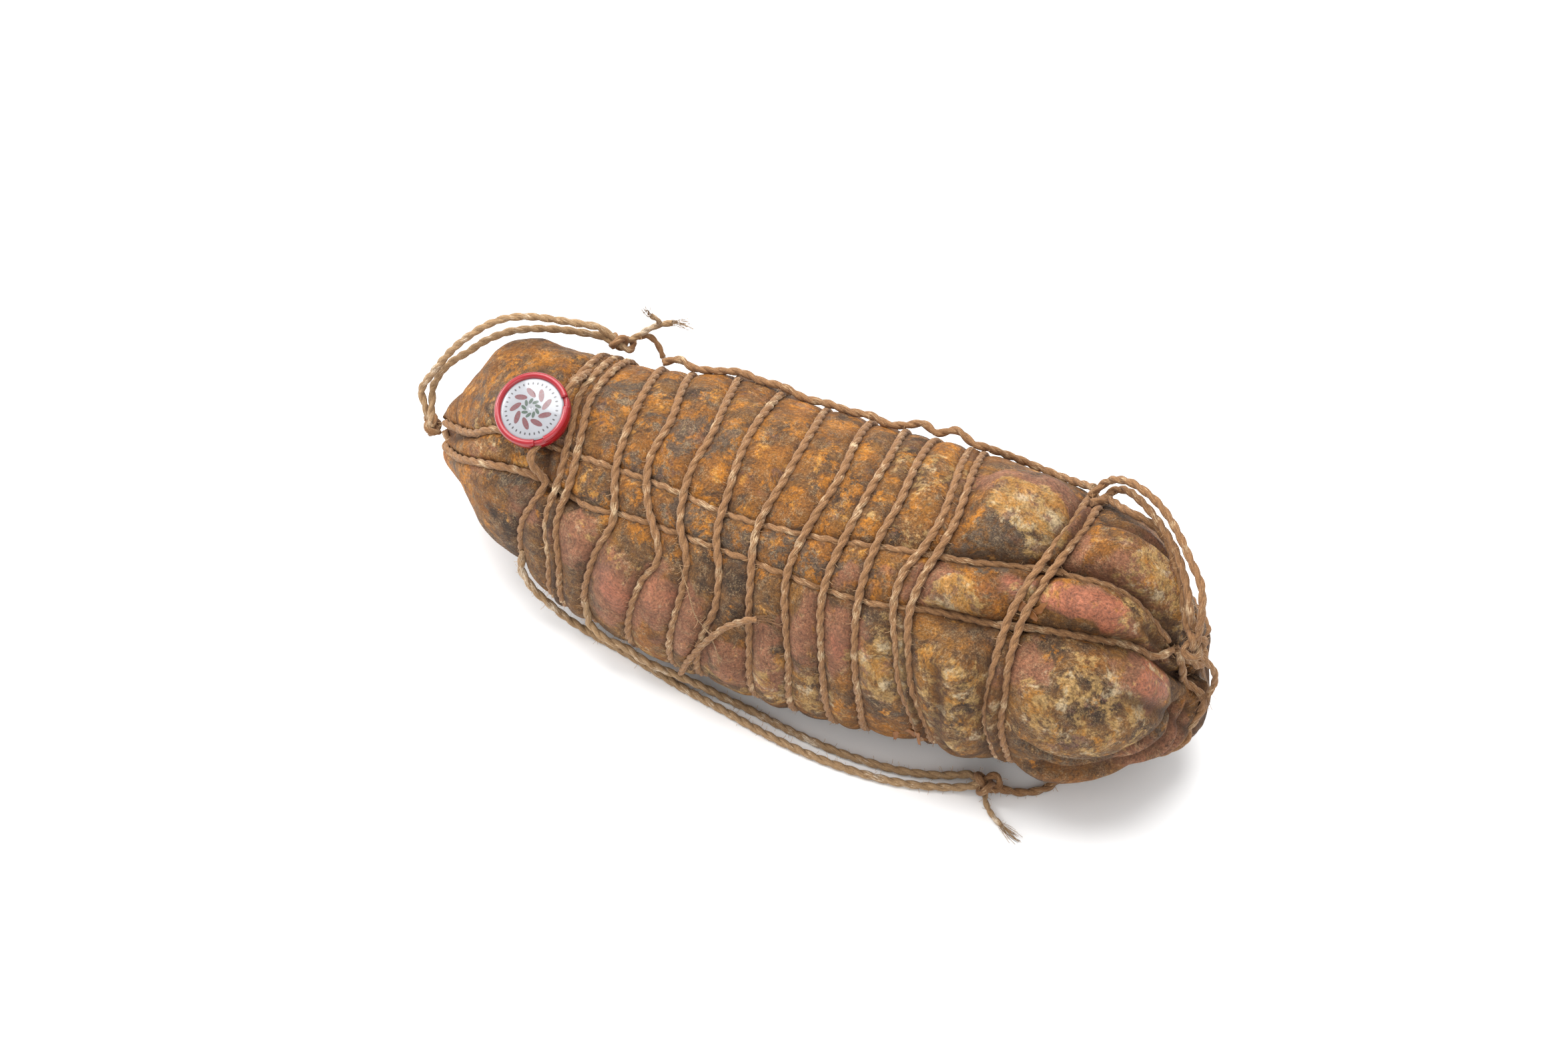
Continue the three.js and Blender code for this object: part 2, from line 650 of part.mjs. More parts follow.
function sealRim() {
  const low = -wallDistance + clearance;
  const top = wallDistance + sealFaceThickness + sealDome;
  const soft = sealRimWidth / 3;
  return lathe([
    [sealInner, low], [sealRadius - soft / 2, low], [sealRadius, low + soft],
    [sealRadius, top - soft], [sealRadius - soft, top], [sealInner + soft, top],
    [sealInner, top - soft], [sealInner, low],
  ]);
}

function sealFace() {
  const low = wallDistance;
  const edge = low + sealFaceThickness;
  const r = sealInner - clearance;
  const dome = [0.75, 0.5, 0.25].map((s) => [r * s, edge + sealDome * (1 - s * s)]);
  return lathe([[0, low], [r, low], [r, edge], ...dome, [0, edge + sealDome]]);
}

const sealChannel = () =>
  solidOf(
    twine([inSeal(sealTwineAt, -2 * sealRadius, 0), inSeal(sealTwineAt, 2 * sealRadius, 0)], {
      radius: wallDistance * 1.06,
      sides: 12,
    }),
  );

addNode("coppa_meat", meatGeometry(), coloursOf.meat, 0.85);
for (const name of turnNames) {
  addNode(name, twine(turnPoints(name), { closed: true }), coloursOf.twine, 0.95);
}
const strandEnds = {
  strand_front_upper: [-163, 128],
  strand_front_lower: [-163, 130],
  strand_under: [-163, 146],
  strand_back: [-163, 146],
};
for (const name of strandNames) {
  addNode(name, twine(strandPoints(name, ...strandEnds[name])), coloursOf.twine, 0.95);
}
addNode("running_line", twine(runningPoints()), coloursOf.twine, 0.95);
for (const [name, route] of Object.entries(routes)) {
  addNode(name, freeTwine(route), coloursOf.paleTwine, 0.95);
}
for (const [name, knot] of Object.entries(knots)) {
  const place = knot.point
    ? new THREE.Matrix4().setPosition(placed(knot.point))
    : placeOn(...knot.at, knot.off);
  addNode(name, knotGeometry(place), coloursOf.twine, 0.95);
}
addNode("seal_back", sealBack().applyMatrix4(sealFrame), coloursOf.sealRed, 0.3);
const rim = solidOf(sealRim().applyMatrix4(sealFrame)).subtract(sealChannel());
addNode("seal_rim", geometryOf(rim), coloursOf.sealRed, 0.25);
addNode("seal_face", sealFace().applyMatrix4(sealFrame), coloursOf.sealWhite, 0.15);

export default coppa;
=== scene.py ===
# A whole cured coppa in its casing, tied with hemp twine and carrying a round plastic seal.
import math

import bpy
import numpy as np
from mathutils import Matrix, Vector


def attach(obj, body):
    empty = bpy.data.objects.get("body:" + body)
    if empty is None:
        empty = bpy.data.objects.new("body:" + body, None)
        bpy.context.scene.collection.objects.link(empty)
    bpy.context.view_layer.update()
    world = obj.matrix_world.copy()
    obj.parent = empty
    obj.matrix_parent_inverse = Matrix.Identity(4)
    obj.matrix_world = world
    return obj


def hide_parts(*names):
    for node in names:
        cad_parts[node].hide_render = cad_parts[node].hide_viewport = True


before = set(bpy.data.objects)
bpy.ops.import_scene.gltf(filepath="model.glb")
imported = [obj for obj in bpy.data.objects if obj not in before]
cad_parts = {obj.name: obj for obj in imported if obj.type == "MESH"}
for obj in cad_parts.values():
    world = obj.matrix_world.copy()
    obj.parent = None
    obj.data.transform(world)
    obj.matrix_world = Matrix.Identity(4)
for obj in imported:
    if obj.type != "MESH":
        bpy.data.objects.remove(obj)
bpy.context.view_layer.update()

mm = 0.001

view = {
    "azimuth": 24.0,  # degrees
    "elevation": 46.0,
    "distance": 1150.0,  # mm
    "lens": 78.0,  # mm, on a sensor of this width
    "sensor": 36.0,
    "aim": (10.0, 5.0, 40.0),
    "sideways": -14.7,  # mm that the camera moves off its line of aim
    "upwards": 11.7,
}


def linkedObject(name, data):
    made = bpy.data.objects.new(name, data)
    bpy.context.collection.objects.link(made)
    return made


def placeCamera(settings):
    azimuth, elevation = math.radians(settings["azimuth"]), math.radians(settings["elevation"])
    back = Vector((
        math.sin(azimuth) * math.cos(elevation),
        -math.cos(azimuth) * math.cos(elevation),
        math.sin(elevation),
    ))
    right = Vector((math.cos(azimuth), math.sin(azimuth), 0))
    up = back.cross(right)
    place = Vector(settings["aim"]) + back * settings["distance"]
    place += right * settings["sideways"] + up * settings["upwards"]
    data = bpy.data.cameras.new("camera")
    data.lens, data.sensor_width = settings["lens"], settings["sensor"]
    data.clip_start, data.clip_end = 0.01, 20
    camera = linkedObject("camera", data)
    turned = Matrix((right, up, back)).transposed()
    camera.matrix_world = Matrix.Translation(place * mm) @ turned.to_4x4()
    bpy.context.scene.camera = camera


placeCamera(view)
bpy.context.scene.view_settings.view_transform = "Standard"  # colours as they are painted
print("camera placed")


# a node, each of whose inputs is linked to a socket or set to a value
def addNode(tree, kind, inputs=None, **settings):
    node = tree.nodes.new(kind)
    for name, value in settings.items():
        setattr(node, name, value)
    for name, value in (inputs or {}).items():
        if isinstance(value, bpy.types.NodeSocket):
            tree.links.new(value, node.inputs[name])
        else:
            node.inputs[name].default_value = value
    return node


# the commonest nodes: each of these functions gives the socket that holds its node's result
def mathNode(tree, operation, *values):
    return addNode(tree, "ShaderNodeMath", dict(enumerate(values)), operation=operation).outputs[0]


def vectorNode(tree, operation, *values):
    node = addNode(tree, "ShaderNodeVectorMath", dict(enumerate(values)), operation=operation)
    return node.outputs[0]


def scaleNode(tree, vector, scale):
    node = addNode(tree, "ShaderNodeVectorMath", {0: vector, "Scale": scale}, operation="SCALE")
    return node.outputs[0]


def joinNode(tree, x, y, z):
    return addNode(tree, "ShaderNodeCombineXYZ", {0: x, 1: y, 2: z}).outputs[0]


def rangeNode(tree, value, low, high, toLow=0.0, toHigh=1.0, **settings):
    return addNode(tree, "ShaderNodeMapRange", {
        "Value": value, "From Min": low, "From Max": high, "To Min": toLow, "To Max": toHigh,
    }, **settings).outputs[0]


def noiseNode(tree, place, size, detail=2.0, rough=0.5, output="Fac"):  # size in millimetres
    return addNode(tree, "ShaderNodeTexNoise", {
        "Vector": place, "Scale": 1000 / size, "Detail": detail, "Roughness": rough,
    }).outputs[output]


def mixNode(tree, share, first, second):
    first, second = (linearColour(c) if isinstance(c, str) else c for c in (first, second))
    return addNode(tree, "ShaderNodeMix", {0: share, 6: first, 7: second}, data_type="RGBA").outputs[2]


def bumpNode(tree, height, strength, distance):
    return addNode(tree, "ShaderNodeBump", {
        "Height": height, "Strength": strength, "Distance": distance,
    }).outputs[0]


def attributeNode(tree, name):
    return addNode(tree, "ShaderNodeAttribute", attribute_name=name).outputs["Fac"]


def circleNode(tree, resolution, radius):
    return addNode(tree, "GeometryNodeCurvePrimitiveCircle", {
        "Resolution": resolution, "Radius": radius,
    }).outputs[0]


def randomNode(tree, low, high, seed):
    return addNode(tree, "FunctionNodeRandomValue", {
        2: low, 3: high, "Seed": seed,
    }, data_type="FLOAT").outputs[1]


def randomVectorNode(tree, reach, seed):
    return addNode(tree, "FunctionNodeRandomValue", {
        0: (-reach, -reach, -reach), 1: (reach, reach, reach), "Seed": seed,
    }, data_type="FLOAT_VECTOR").outputs[0]


def linearColour(hexColour):
    channels = [int(hexColour[i:i + 2], 16) / 255 for i in (1, 3, 5)]
    return tuple(
        c / 12.92 if c <= 0.04045 else ((c + 0.055) / 1.055) ** 2.4 for c in channels
    ) + (1.0,)


def emptyMaterial(name):
    material = bpy.data.materials.new(name)
    material.use_nodes = True
    tree = material.node_tree
    tree.nodes.clear()
    place = addNode(tree, "ShaderNodeTexCoord").outputs["Object"]
    return material, tree, place


def finishMaterial(material, shaderInputs):
    tree = material.node_tree
    shader = addNode(tree, "ShaderNodeBsdfPrincipled", shaderInputs)
    addNode(tree, "ShaderNodeOutputMaterial", {"Surface": shader.outputs[0]})
    return material


# the shape of the coppa, in millimetres: a mark is a place along it, and an angle goes round it
narrowShoulder, bluntShoulder = -112.0, 92.0
narrowBend, bluntBend = 38.0, 44.0
narrowTip = narrowShoulder - narrowBend * math.pi / 2
bluntTip = bluntShoulder + bluntBend * math.pi / 2
middle = (-10.0, -5.0)

# mark, radius, sideways place of the axis, height of the axis
stations = [
    [-172, 42, 9, 38], [-148, 31.5, 9, 41], [-128, 32, 8, 42], [-112, 35.5, 7, 42.5],
    [-85, 39.5, 3, 42], [-50, 44, 0, 43], [0, 46.5, -4, 45.3], [45, 47.5, -4.5, 46.2],
    [92, 44.5, -3.5, 45.4], [125, 42, -3, 44.5], [161, 43.5, -3, 43],
]
# turns round the girth: angle, mark
turns = {
    "seal_turn": [
        [-60, -99], [-20, -96], [5, -96.5], [34, -94], [56, -91.5], [66, -94], [80, -98],
        [95, -100], [130, -101], [190, -100], [250, -99],
    ],
    "collar_turn_a": [
        [-60, -93.5], [-20, -91.5], [8, -91], [22, -88.5], [38, -87], [50, -86.5], [72, -88.5],
        [84, -87.8], [96, -86.5], [130, -87.5], [190, -92], [250, -94],
    ],
    "collar_turn_b": [
        [-60, -89], [-20, -87.2], [8, -86.8], [22, -84.4], [38, -82.5], [50, -82], [72, -84.2],
        [84, -83.3], [96, -82], [130, -82.5], [190, -87.5], [250, -89.5],
    ],
    "turn_1": [
        [-60, -77], [-20, -72], [4, -69.5], [34, -67], [58, -62.5], [76, -67], [108, -71.5],
        [124, -70.5], [160, -70], [200, -73], [250, -77],
    ],
    "turn_2": [
        [-60, -66], [-20, -60], [6, -55.5], [28, -56], [46, -51], [60, -44], [68, -43],
        [80, -48], [106, -52.5], [130, -54], [170, -57], [250, -65],
    ],
    "turn_3": [
        [-60, -49], [-20, -43], [6, -39.5], [28, -40.5], [48, -38], [62, -32.5], [78, -32.5],
        [106, -36], [140, -38], [180, -42], [250, -48],
    ],
    "turn_4": [
        [-60, -31], [-18, -28], [6, -27], [30, -25], [48, -24], [62, -20], [78, -19.5],
        [92, -23], [118, -27], [150, -27], [200, -28], [250, -30],
    ],
    "turn_5": [
        [-60, -15], [-14, -9], [16, -8.5], [40, -11], [64, -8], [90, -6], [118, -6],
        [150, -6], [200, -10], [250, -15],
    ],
    "turn_6": [
        [-60, 2], [-10, 7], [10, 8.5], [40, 4.5], [55, 3.5], [76, 7], [92, 8.5], [126, 7.5],
        [180, 4], [250, 0],
    ],
    "turn_7": [
        [-60, 14], [-10, 20], [20, 19.5], [54, 17], [80, 20], [110, 22], [130, 22],
        [180, 19], [250, 13],
    ],
    "turn_8": [
        [-60, 26], [-10, 29.5], [12, 31], [28, 29.5], [50, 29], [72, 31], [104, 34],
        [130, 33], [180, 31], [250, 27],
    ],
    "turn_9_a": [
        [-60, 38], [-22, 42], [10, 46], [26, 44.5], [38, 41], [52, 41], [68, 45], [84, 48],
        [98, 51.5], [112, 53], [140, 52], [180, 48], [250, 42],
    ],
    "turn_9_b": [
        [-60, 42.5], [-22, 46.5], [10, 50.5], [26, 49.4], [38, 47.4], [52, 46.6], [68, 49],
        [84, 52], [98, 55.5], [112, 57], [140, 56], [180, 52], [250, 46.5],
    ],
    "end_turn_a": [
        [-60, 82], [-10, 84.5], [10, 82.5], [32, 79], [44, 77.5], [62, 77], [88, 77],
        [110, 79], [150, 79], [200, 80], [250, 81],
    ],
    "end_turn_b": [
        [-60, 86.2], [-10, 88.8], [10, 86.8], [32, 83.2], [44, 81.7], [62, 81.4], [76, 82.4],
        [88, 82], [110, 83.3], [150, 83.3], [200, 84.4], [250, 85.2],
    ],
}
# strands from tip to tip: mark, angle
strands = {
    "strand_front_upper": [
        [-172, 60], [-150, 56], [-132, 50], [-115, 41], [-82, 36], [-47, 36], [-25, 38],
        [3, 36], [27, 32], [55, 26], [81, 18], [95, 15], [112, 13], [129, 16], [161, 20],
    ],
    "strand_front_lower": [
        [-172, 100], [-150, 84], [-132, 70], [-117, 62], [-97, 55], [-73, 57], [-58, 54],
        [-32, 53], [-12, 53], [31, 54], [51, 50], [71, 48], [86, 44], [107, 40], [121, 37],
        [134, 40], [161, 60],
    ],
    "strand_under": [
        [-172, 160], [-130, 150], [-80, 143], [0, 140], [60, 144], [100, 148], [161, 160],
    ],
    "strand_back": [
        [-172, 280], [-130, 262], [-80, 252], [0, 248], [60, 252], [100, 260], [161, 290],
    ],
}
# bulges of meat between the ties: mark, angle, half length, half angle, rise
bulges = [
    [70, -2, 19, 30, 7.5], [113, 0, 25, 26, 6.5], [102, 27, 24, 12, 6], [61, 39, 15, 9, 4],
    [66, 90, 16, 42, 6], [112, 74, 31, 32, 8.5], [138, 118, 22, 20, 5], [104, 122, 24, 15, 5.5],
    [-118, -15, 26, 60, 2], [-95, 115, 24, 36, 2],
    [-74, 74, 12, 15, 3.4], [-58, 88, 13, 24, 4.2], [-41, 86, 10, 17, 3.4],
    [-28, 92, 9, 20, 3.6], [-14, 104, 8, 16, 4], [1, 96, 9, 22, 3.8], [14, 78, 9, 24, 3.4],
    [26, 84, 8, 26, 3], [38, 86, 9, 30, 3.2], [-100, 78, 8, 16, 2.2],
]
# broad swellings and hollows of the trunk itself, which the turns follow: the same five numbers
swells = [
    [-46, 124, 66, 54, 6.6], [-133, -26, 22, 44, 3.6], [-42, -54, 26, 34, 3.4],
    [-108, -42, 14, 26, -1.8], [126, -54, 30, 44, -4.2], [142, 176, 34, 74, 6.8],
    [-136, 116, 18, 32, -2.6], [14, 132, 44, 44, 4.2], [-86, 122, 20, 30, 3.0],
]


def smoothRun(rows, where, column=1):
    table = np.asarray(rows, float)
    x, y = table[:, 0], table[:, column]
    before, after = np.r_[0, 0:len(x) - 1], np.r_[1:len(x), len(x) - 1]
    slope = (y[after] - y[before]) / (x[after] - x[before])
    where = np.clip(np.asarray(where, float), x[0], x[-1])
    i = np.clip(np.searchsorted(x, where, side="right") - 1, 0, len(x) - 2)
    span = x[i + 1] - x[i]
    t = (where - x[i]) / span
    return (
        (1 + 2 * t) * (1 - t) ** 2 * y[i] + t * (1 - t) ** 2 * span * slope[i]
        + t * t * (3 - 2 * t) * y[i + 1] + t * t * (t - 1) * span * slope[i + 1]
    )


def smoothRound(rows, angle):
    table = np.asarray(rows, float)
    start = table[0, 0]
    turned = (np.asarray(angle, float) - start) % 360 + start
    looped = np.vstack([
        table[-1] - [360, 0], table, table[0] + [360, 0], table[1] + [360, 0],
    ])
    return smoothRun(looped, turned)


# how far one angle is past another, from -180 to 180 degrees
def anglePast(angle, start):
    return (angle - start + 180) % 360 - 180


# the square of the way out over an oval patch of the casing: 0 at its middle, 1 at its edge
def wayOutSquared(mark, angle, at, around, halfLength, halfAngle):
    return ((mark - at) / halfLength) ** 2 + (anglePast(angle, around) / halfAngle) ** 2


def bell(distance, width):
    return np.exp(-((distance / width) ** 2))


def swellAt(mark, angle):
    total = np.zeros(np.shape(mark))
    for *oval, rise in swells:
        total = total + rise * np.clip(1 - wayOutSquared(mark, angle, *oval), 0, 1) ** 2
    return total


# a point over the casing, in millimetres of the part's frame
def pointOver(mark, angle, off):
    mark, angle, off = np.broadcast_arrays(*(np.asarray(v, float) for v in (mark, angle, off)))
    shoulder = np.clip(mark, narrowShoulder, bluntShoulder)
    lean = (mark - shoulder) / np.where(mark < narrowShoulder, narrowBend, bluntBend)
    a = np.radians(angle)
    out = np.stack([np.sin(lean), -np.cos(lean) * np.sin(a), np.cos(lean) * np.cos(a)], -1)
    axis = np.stack([
        shoulder - middle[0],
        smoothRun(stations, mark, 2) - middle[1],
        smoothRun(stations, mark, 3),
    ], -1)
    reach = smoothRun(stations, mark) + swellAt(mark, angle) + off
    return axis + out * reach[..., None]


def fadeIn(value, low, high):
    t = np.clip((value - low) / (high - low), 0, 1)
    return t * t * (3 - 2 * t)


scatter = np.array([127.1, 311.7, 74.7])  # large uneven steps that part neighbouring cells


# smooth random values from -1 to 1, one for each point, with lumps of that size
def lumps(points, size, seed):
    p = np.asarray(points) / size + seed * 7.31
    cell = np.floor(p)
    f = p - cell
    f = f * f * (3 - 2 * f)
    total = np.zeros(len(p))
    for corner in np.ndindex((2,) * p.shape[1]):
        corner = np.array(corner)
        phase = (cell + corner) @ scatter[:p.shape[1]] + seed * 19.19
        value = np.modf(np.abs(np.sin(phase) * 43758.5453))[0]
        total += value * np.where(corner, f, 1 - f).prod(1)
    return total * 2 - 1


turnNames = list(turns)
strandNames = list(strands)


# where each turn runs at that angle
def marksOfTurns(angle):
    return np.stack([smoothRound(turns[name], angle) for name in turnNames])


# how much narrower the girth is where the trunk rounds to a tip
def leanScale(mark):
    lean = np.where(
        mark < narrowShoulder, (mark - narrowShoulder) / narrowBend,
        np.maximum(mark - bluntShoulder, 0) / bluntBend,
    )
    return np.cos(lean)


def girthRadius(mark):
    return smoothRun(stations, mark) * np.maximum(leanScale(mark), 0.1)


# millimetres round the girth from a strand to the place
def arcToStrand(name, mark, angle):
    return np.radians(anglePast(angle, smoothRun(strands[name], mark))) * girthRadius(mark)


# 0 at a tie, rising steeply and then level at 1 from the reach on
def pillow(distance, reach):
    near = 1 - np.clip(distance / reach, 0, 1)
    return (1 - near * near) ** 0.6


meat = {
    "rows": 372,
    "columns": 262,
    "turnBed": -1.2,  # mm off the trunk, where a turn presses the casing in
    "commonRise": 0.9,
    "frontRise": 1.2,
    "frontAngles": (50, 160),
    "frontFade": 20,
    "tipFade": 18,  # mm over which the meat sinks to each tip
    "reach": 5.0,  # mm from a turn to where the meat stands at its full height
    "reachPerRise": 1.3,
    "creaseDepth": 1.5,  # of the line that a strand presses in
    "creaseWidth": 1.5,
    "hollowWidth": 4.5,  # of the broader hollow on both sides of it
    "bluntMarks": (40, 62),  # from here on the strands part the meat into lobes
    "bluntPinch": 0.75,
    "bluntPinchReach": 9,
    "bluntDeeper": 1.8,
    "bluntWider": 0.4,
    "bluntHollow": 2.5,
    "lumpHeights": [(26, 0.9), (11, 0.5), (4.5, 0.22), (2.0, 0.10)],  # size, height in mm
    "pleatHeight": 0.5,
    "pleatSize": 3.4,
    "pleatLength": 26,
    "pleatReach": 4.5,  # mm from a turn to where the pleats have mostly faded
}


def riseAt(mark, angle):
    (low, high), fade = meat["frontAngles"], meat["frontFade"]
    front = np.clip((angle - low) / fade, 0, 1) * np.clip((high - angle) / fade, 0, 1)
    rise = meat["commonRise"] + meat["frontRise"] * front
    for *oval, height in bulges:
        q = wayOutSquared(mark, angle, *oval)
        rise = np.maximum(rise, height * np.sqrt(np.clip(1 - q, 0, 1)))
    fade = meat["tipFade"]
    toTips = np.clip((mark - narrowTip) / fade, 0, 1) * np.clip((bluntTip - mark) / fade, 0, 1)
    return rise * toTips


# folds where the casing is gathered: path as mark and angle, depth and width in mm
folds = [
    {"path": [(92, 96), (104, 102), (116, 104), (128, 98), (140, 84)], "depth": 4.0, "width": 2.2},
    {"path": [(96, 112), (110, 114), (124, 116), (138, 112), (148, 96)], "depth": 3.6, "width": 2.0},
    {"path": [(104, 130), (120, 130), (136, 132), (150, 130)], "depth": 3.2, "width": 2.2},
    {"path": [(118, 62), (128, 68), (137, 78), (144, 92)], "depth": 1.6, "width": 2.2},
    {"path": [(120, 26), (130, 27), (141, 30)], "depth": 2.6, "width": 1.8},
    {"path": [(96, -12), (112, -16), (130, -20), (146, -24)], "depth": 2.6, "width": 2.4},
    {"path": [(128, -2), (138, 2), (150, 10)], "depth": 2.2, "width": 1.8},
    {"path": [(60, 70), (64, 84), (62, 100), (66, 116)], "depth": 1.6, "width": 2.4},
    {"path": [(-164, 78), (-152, 70), (-140, 58), (-128, 50)], "depth": 1.0, "width": 1.8},
    {"path": [(-90, 58), (-84, 57), (-78, 59)], "depth": 3.0, "width": 1.6},
]


# how far a place on the casing is from a fold, in millimetres
def toFold(fold, mark, angle):
    path = fold["path"]
    scale = np.radians(1) * girthRadius(mark)
    nearest = np.full(np.shape(mark), 99.0)
    for (mark0, angle0), (mark1, angle1) in zip(path, path[1:]):
        x, y = mark - mark0, anglePast(angle, angle0) * scale
        alongX, alongY = mark1 - mark0, (angle1 - angle0) * scale
        share = np.clip((x * alongX + y * alongY) / (alongX ** 2 + alongY ** 2), 0, 1)
        nearest = np.minimum(nearest, np.hypot(x - share * alongX, y - share * alongY))
    return nearest


# distance from a place to the turn on each side of it, and from turn to turn there
def roomBetweenTurns(mark, angle):
    marks = marksOfTurns(angle)
    far = np.full((1,) + mark.shape, 60.0)
    fenced = np.vstack([marks[:1] - far, marks, marks[-1:] + far])
    i = (marks <= mark).sum(0)
    low = np.take_along_axis(fenced, i[None], 0)[0]
    high = np.take_along_axis(fenced, i[None] + 1, 0)[0]
    return mark - low, high - mark, high - low


# millimetres along the coppa from a place to the nearest turn
def toTurn(mark, angle):
    left, right, _ = roomBetweenTurns(mark, angle)
    return np.minimum(left, right)


# how far off the trunk the meat stands, in millimetres
def meatLevel(mark, angle):
    trunk = pointOver(mark, angle, 0)
    rise = riseAt(mark, angle)
    left, right, room = roomBetweenTurns(mark, angle)
    blunt = fadeIn(mark, *meat["bluntMarks"])
    for name in strandNames[:2]:
        arc = np.abs(arcToStrand(name, mark, angle))
        rise = rise * (1 - blunt * meat["bluntPinch"] * (1 - pillow(arc, meat["bluntPinchReach"])))
    reach = np.clip(meat["reach"] + meat["reachPerRise"] * rise, 1.5, room / 2)
    held = pillow(left, reach) * pillow(right, reach)
    uneven = sum(
        height * lumps(trunk, size, 3 + k) for k, (size, height) in enumerate(meat["lumpHeights"])
    )
    roundTheGirth = np.radians(angle) * smoothRun(stations, mark)
    ripple = np.stack([roundTheGirth / meat["pleatSize"], mark / meat["pleatLength"]], -1)
    pleats = meat["pleatHeight"] * lumps(ripple, 1.0, 11)
    pleats = pleats * np.exp(-np.minimum(left, right) / meat["pleatReach"])
    level = meat["turnBed"] + (rise - meat["turnBed"] + uneven) * held + pleats * held
    for k, name in enumerate(strandNames):
        arc = arcToStrand(name, mark, angle)
        deeper = blunt * (k < 2)  # only under the two front strands
        depth = meat["creaseDepth"] * (1 + meat["bluntDeeper"] * deeper)
        level = level - depth * bell(arc, meat["creaseWidth"] * (1 + meat["bluntWider"] * deeper))
        level = level - 0.5 * depth * bell(arc, meat["hollowWidth"] + meat["bluntHollow"] * deeper)
    for fold in folds:
        level = level - fold["depth"] * bell(toFold(fold, mark, angle), fold["width"])
    return level


def notBelow(points, lowest):
    points[:, 2] = np.maximum(points[:, 2], lowest)
    return points


def meatPoint(mark, angle):
    return notBelow(pointOver(mark, angle, meatLevel(mark, angle)), 0.05)


def newObject(name, points, faces, material):
    mesh = bpy.data.meshes.new(name)
    mesh.from_pydata([tuple(p) for p in points], [], [tuple(f) for f in faces])
    mesh.shade_smooth()
    mesh.materials.append(material)
    return linkedObject(name, mesh)


# the piece moves with the coppa and stands for these nodes
def settle(piece, slot, *nodes):
    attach(piece, "root")
    if nodes:
        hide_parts(*nodes)
    return piece


twine = {
    "thickness": 2.8,  # mm
    "pitch": 10.5,  # mm that a ply takes to go once round
    "plyRadius": 1.02,
    "plyOffset": 0.44,  # mm from the twine's middle to a ply's
    "step": 0.62,  # mm from one ring of a ply's skin to the next
}


def newTree(name, inputs):
    tree = bpy.data.node_groups.new(name, "GeometryNodeTree")
    tree.interface.new_socket("Geometry", in_out="INPUT", socket_type="NodeSocketGeometry")
    for label, kind in (inputs | {"Material": "Material"}).items():
        tree.interface.new_socket(label, in_out="INPUT", socket_type="NodeSocket" + kind)
    tree.interface.new_socket("Geometry", in_out="OUTPUT", socket_type="NodeSocketGeometry")
    return tree, addNode(tree, "NodeGroupInput").outputs


def finishTree(tree, given, geometry):
    real = addNode(tree, "GeometryNodeRealizeInstances", {"Geometry": geometry})
    painted = addNode(tree, "GeometryNodeSetMaterial", {
        "Geometry": real.outputs[0], "Material": given["Material"],
    })
    addNode(tree, "NodeGroupOutput", {0: painted.outputs[0]})
    return tree


# what the tree grows on a line through the points, as a plain mesh object
def grown(name, tree, points, closed, values):
    data = bpy.data.curves.new(name, "CURVE")
    data.dimensions = "3D"
    spline = data.splines.new("POLY")
    spline.points.add(len(points) - 1)
    spline.points.foreach_set("co", np.c_[np.asarray(points) * mm, np.ones(len(points))].ravel())
    spline.use_cyclic_u = closed
    source = linkedObject(name + " path", data)
    modifier = source.modifiers.new(name, "NODES")
    modifier.node_group = tree
    for item in tree.interface.items_tree:
        if item.in_out == "INPUT" and item.name in values:
            modifier[item.identifier] = values[item.name]
    graph = bpy.context.evaluated_depsgraph_get()
    mesh = bpy.data.meshes.new_from_object(source.evaluated_get(graph))
    bpy.data.objects.remove(source)
    mesh.name = name
    return linkedObject(name, mesh)


# two round plies wound about each other along the line
def twineTree():
    tree, given = newTree("laid twine", {
        "Pitch": "Float", "Ply Radius": "Float", "Ply Offset": "Float", "Step": "Float",
    })
    path = addNode(tree, "GeometryNodeResampleCurve", {
        "Curve": given["Geometry"], "Length": given["Step"],
    }, mode="LENGTH").outputs[0]
    along = addNode(tree, "GeometryNodeSplineParameter").outputs["Length"]
    normal = addNode(tree, "GeometryNodeInputNormal").outputs[0]
    tangent = addNode(tree, "GeometryNodeInputTangent").outputs[0]
    across = vectorNode(tree, "CROSS_PRODUCT", tangent, normal)
    turnsDone = mathNode(tree, "DIVIDE", along, given["Pitch"])
    both = addNode(tree, "GeometryNodeJoinGeometry")
    for k in range(2):
        angle = mathNode(tree, "MULTIPLY_ADD", turnsDone, 2 * math.pi, math.pi * k)
        sideways = []
        for operation, axis in (("COSINE", normal), ("SINE", across)):
            share = mathNode(tree, "MULTIPLY", mathNode(tree, operation, angle), given["Ply Offset"])
            sideways.append(scaleNode(tree, axis, share))
        moved = addNode(tree, "GeometryNodeSetPosition", {
            "Geometry": path, "Offset": vectorNode(tree, "ADD", *sideways),
        })
        noted = addNode(tree, "GeometryNodeStoreNamedAttribute", {
            "Geometry": moved.outputs[0], "Name": "along", "Value": along,
        }, data_type="FLOAT", domain="POINT")
        place = addNode(tree, "GeometryNodeSplineParameter").outputs["Factor"]
        section = addNode(tree, "GeometryNodeStoreNamedAttribute", {
            "Geometry": circleNode(tree, 9, given["Ply Radius"]), "Name": "around",
            "Value": mathNode(tree, "ADD", place, 1.0 + k),
        }, data_type="FLOAT", domain="POINT")
        ply = addNode(tree, "GeometryNodeCurveToMesh", {
            "Curve": noted.outputs[0], "Profile Curve": section.outputs[0], "Fill Caps": True,
        })
        tree.links.new(ply.outputs[0], both.inputs[0])
    smooth = addNode(tree, "GeometryNodeSetShadeSmooth", {"Geometry": both.outputs[0]})
    return finishTree(tree, given, smooth.outputs[0])


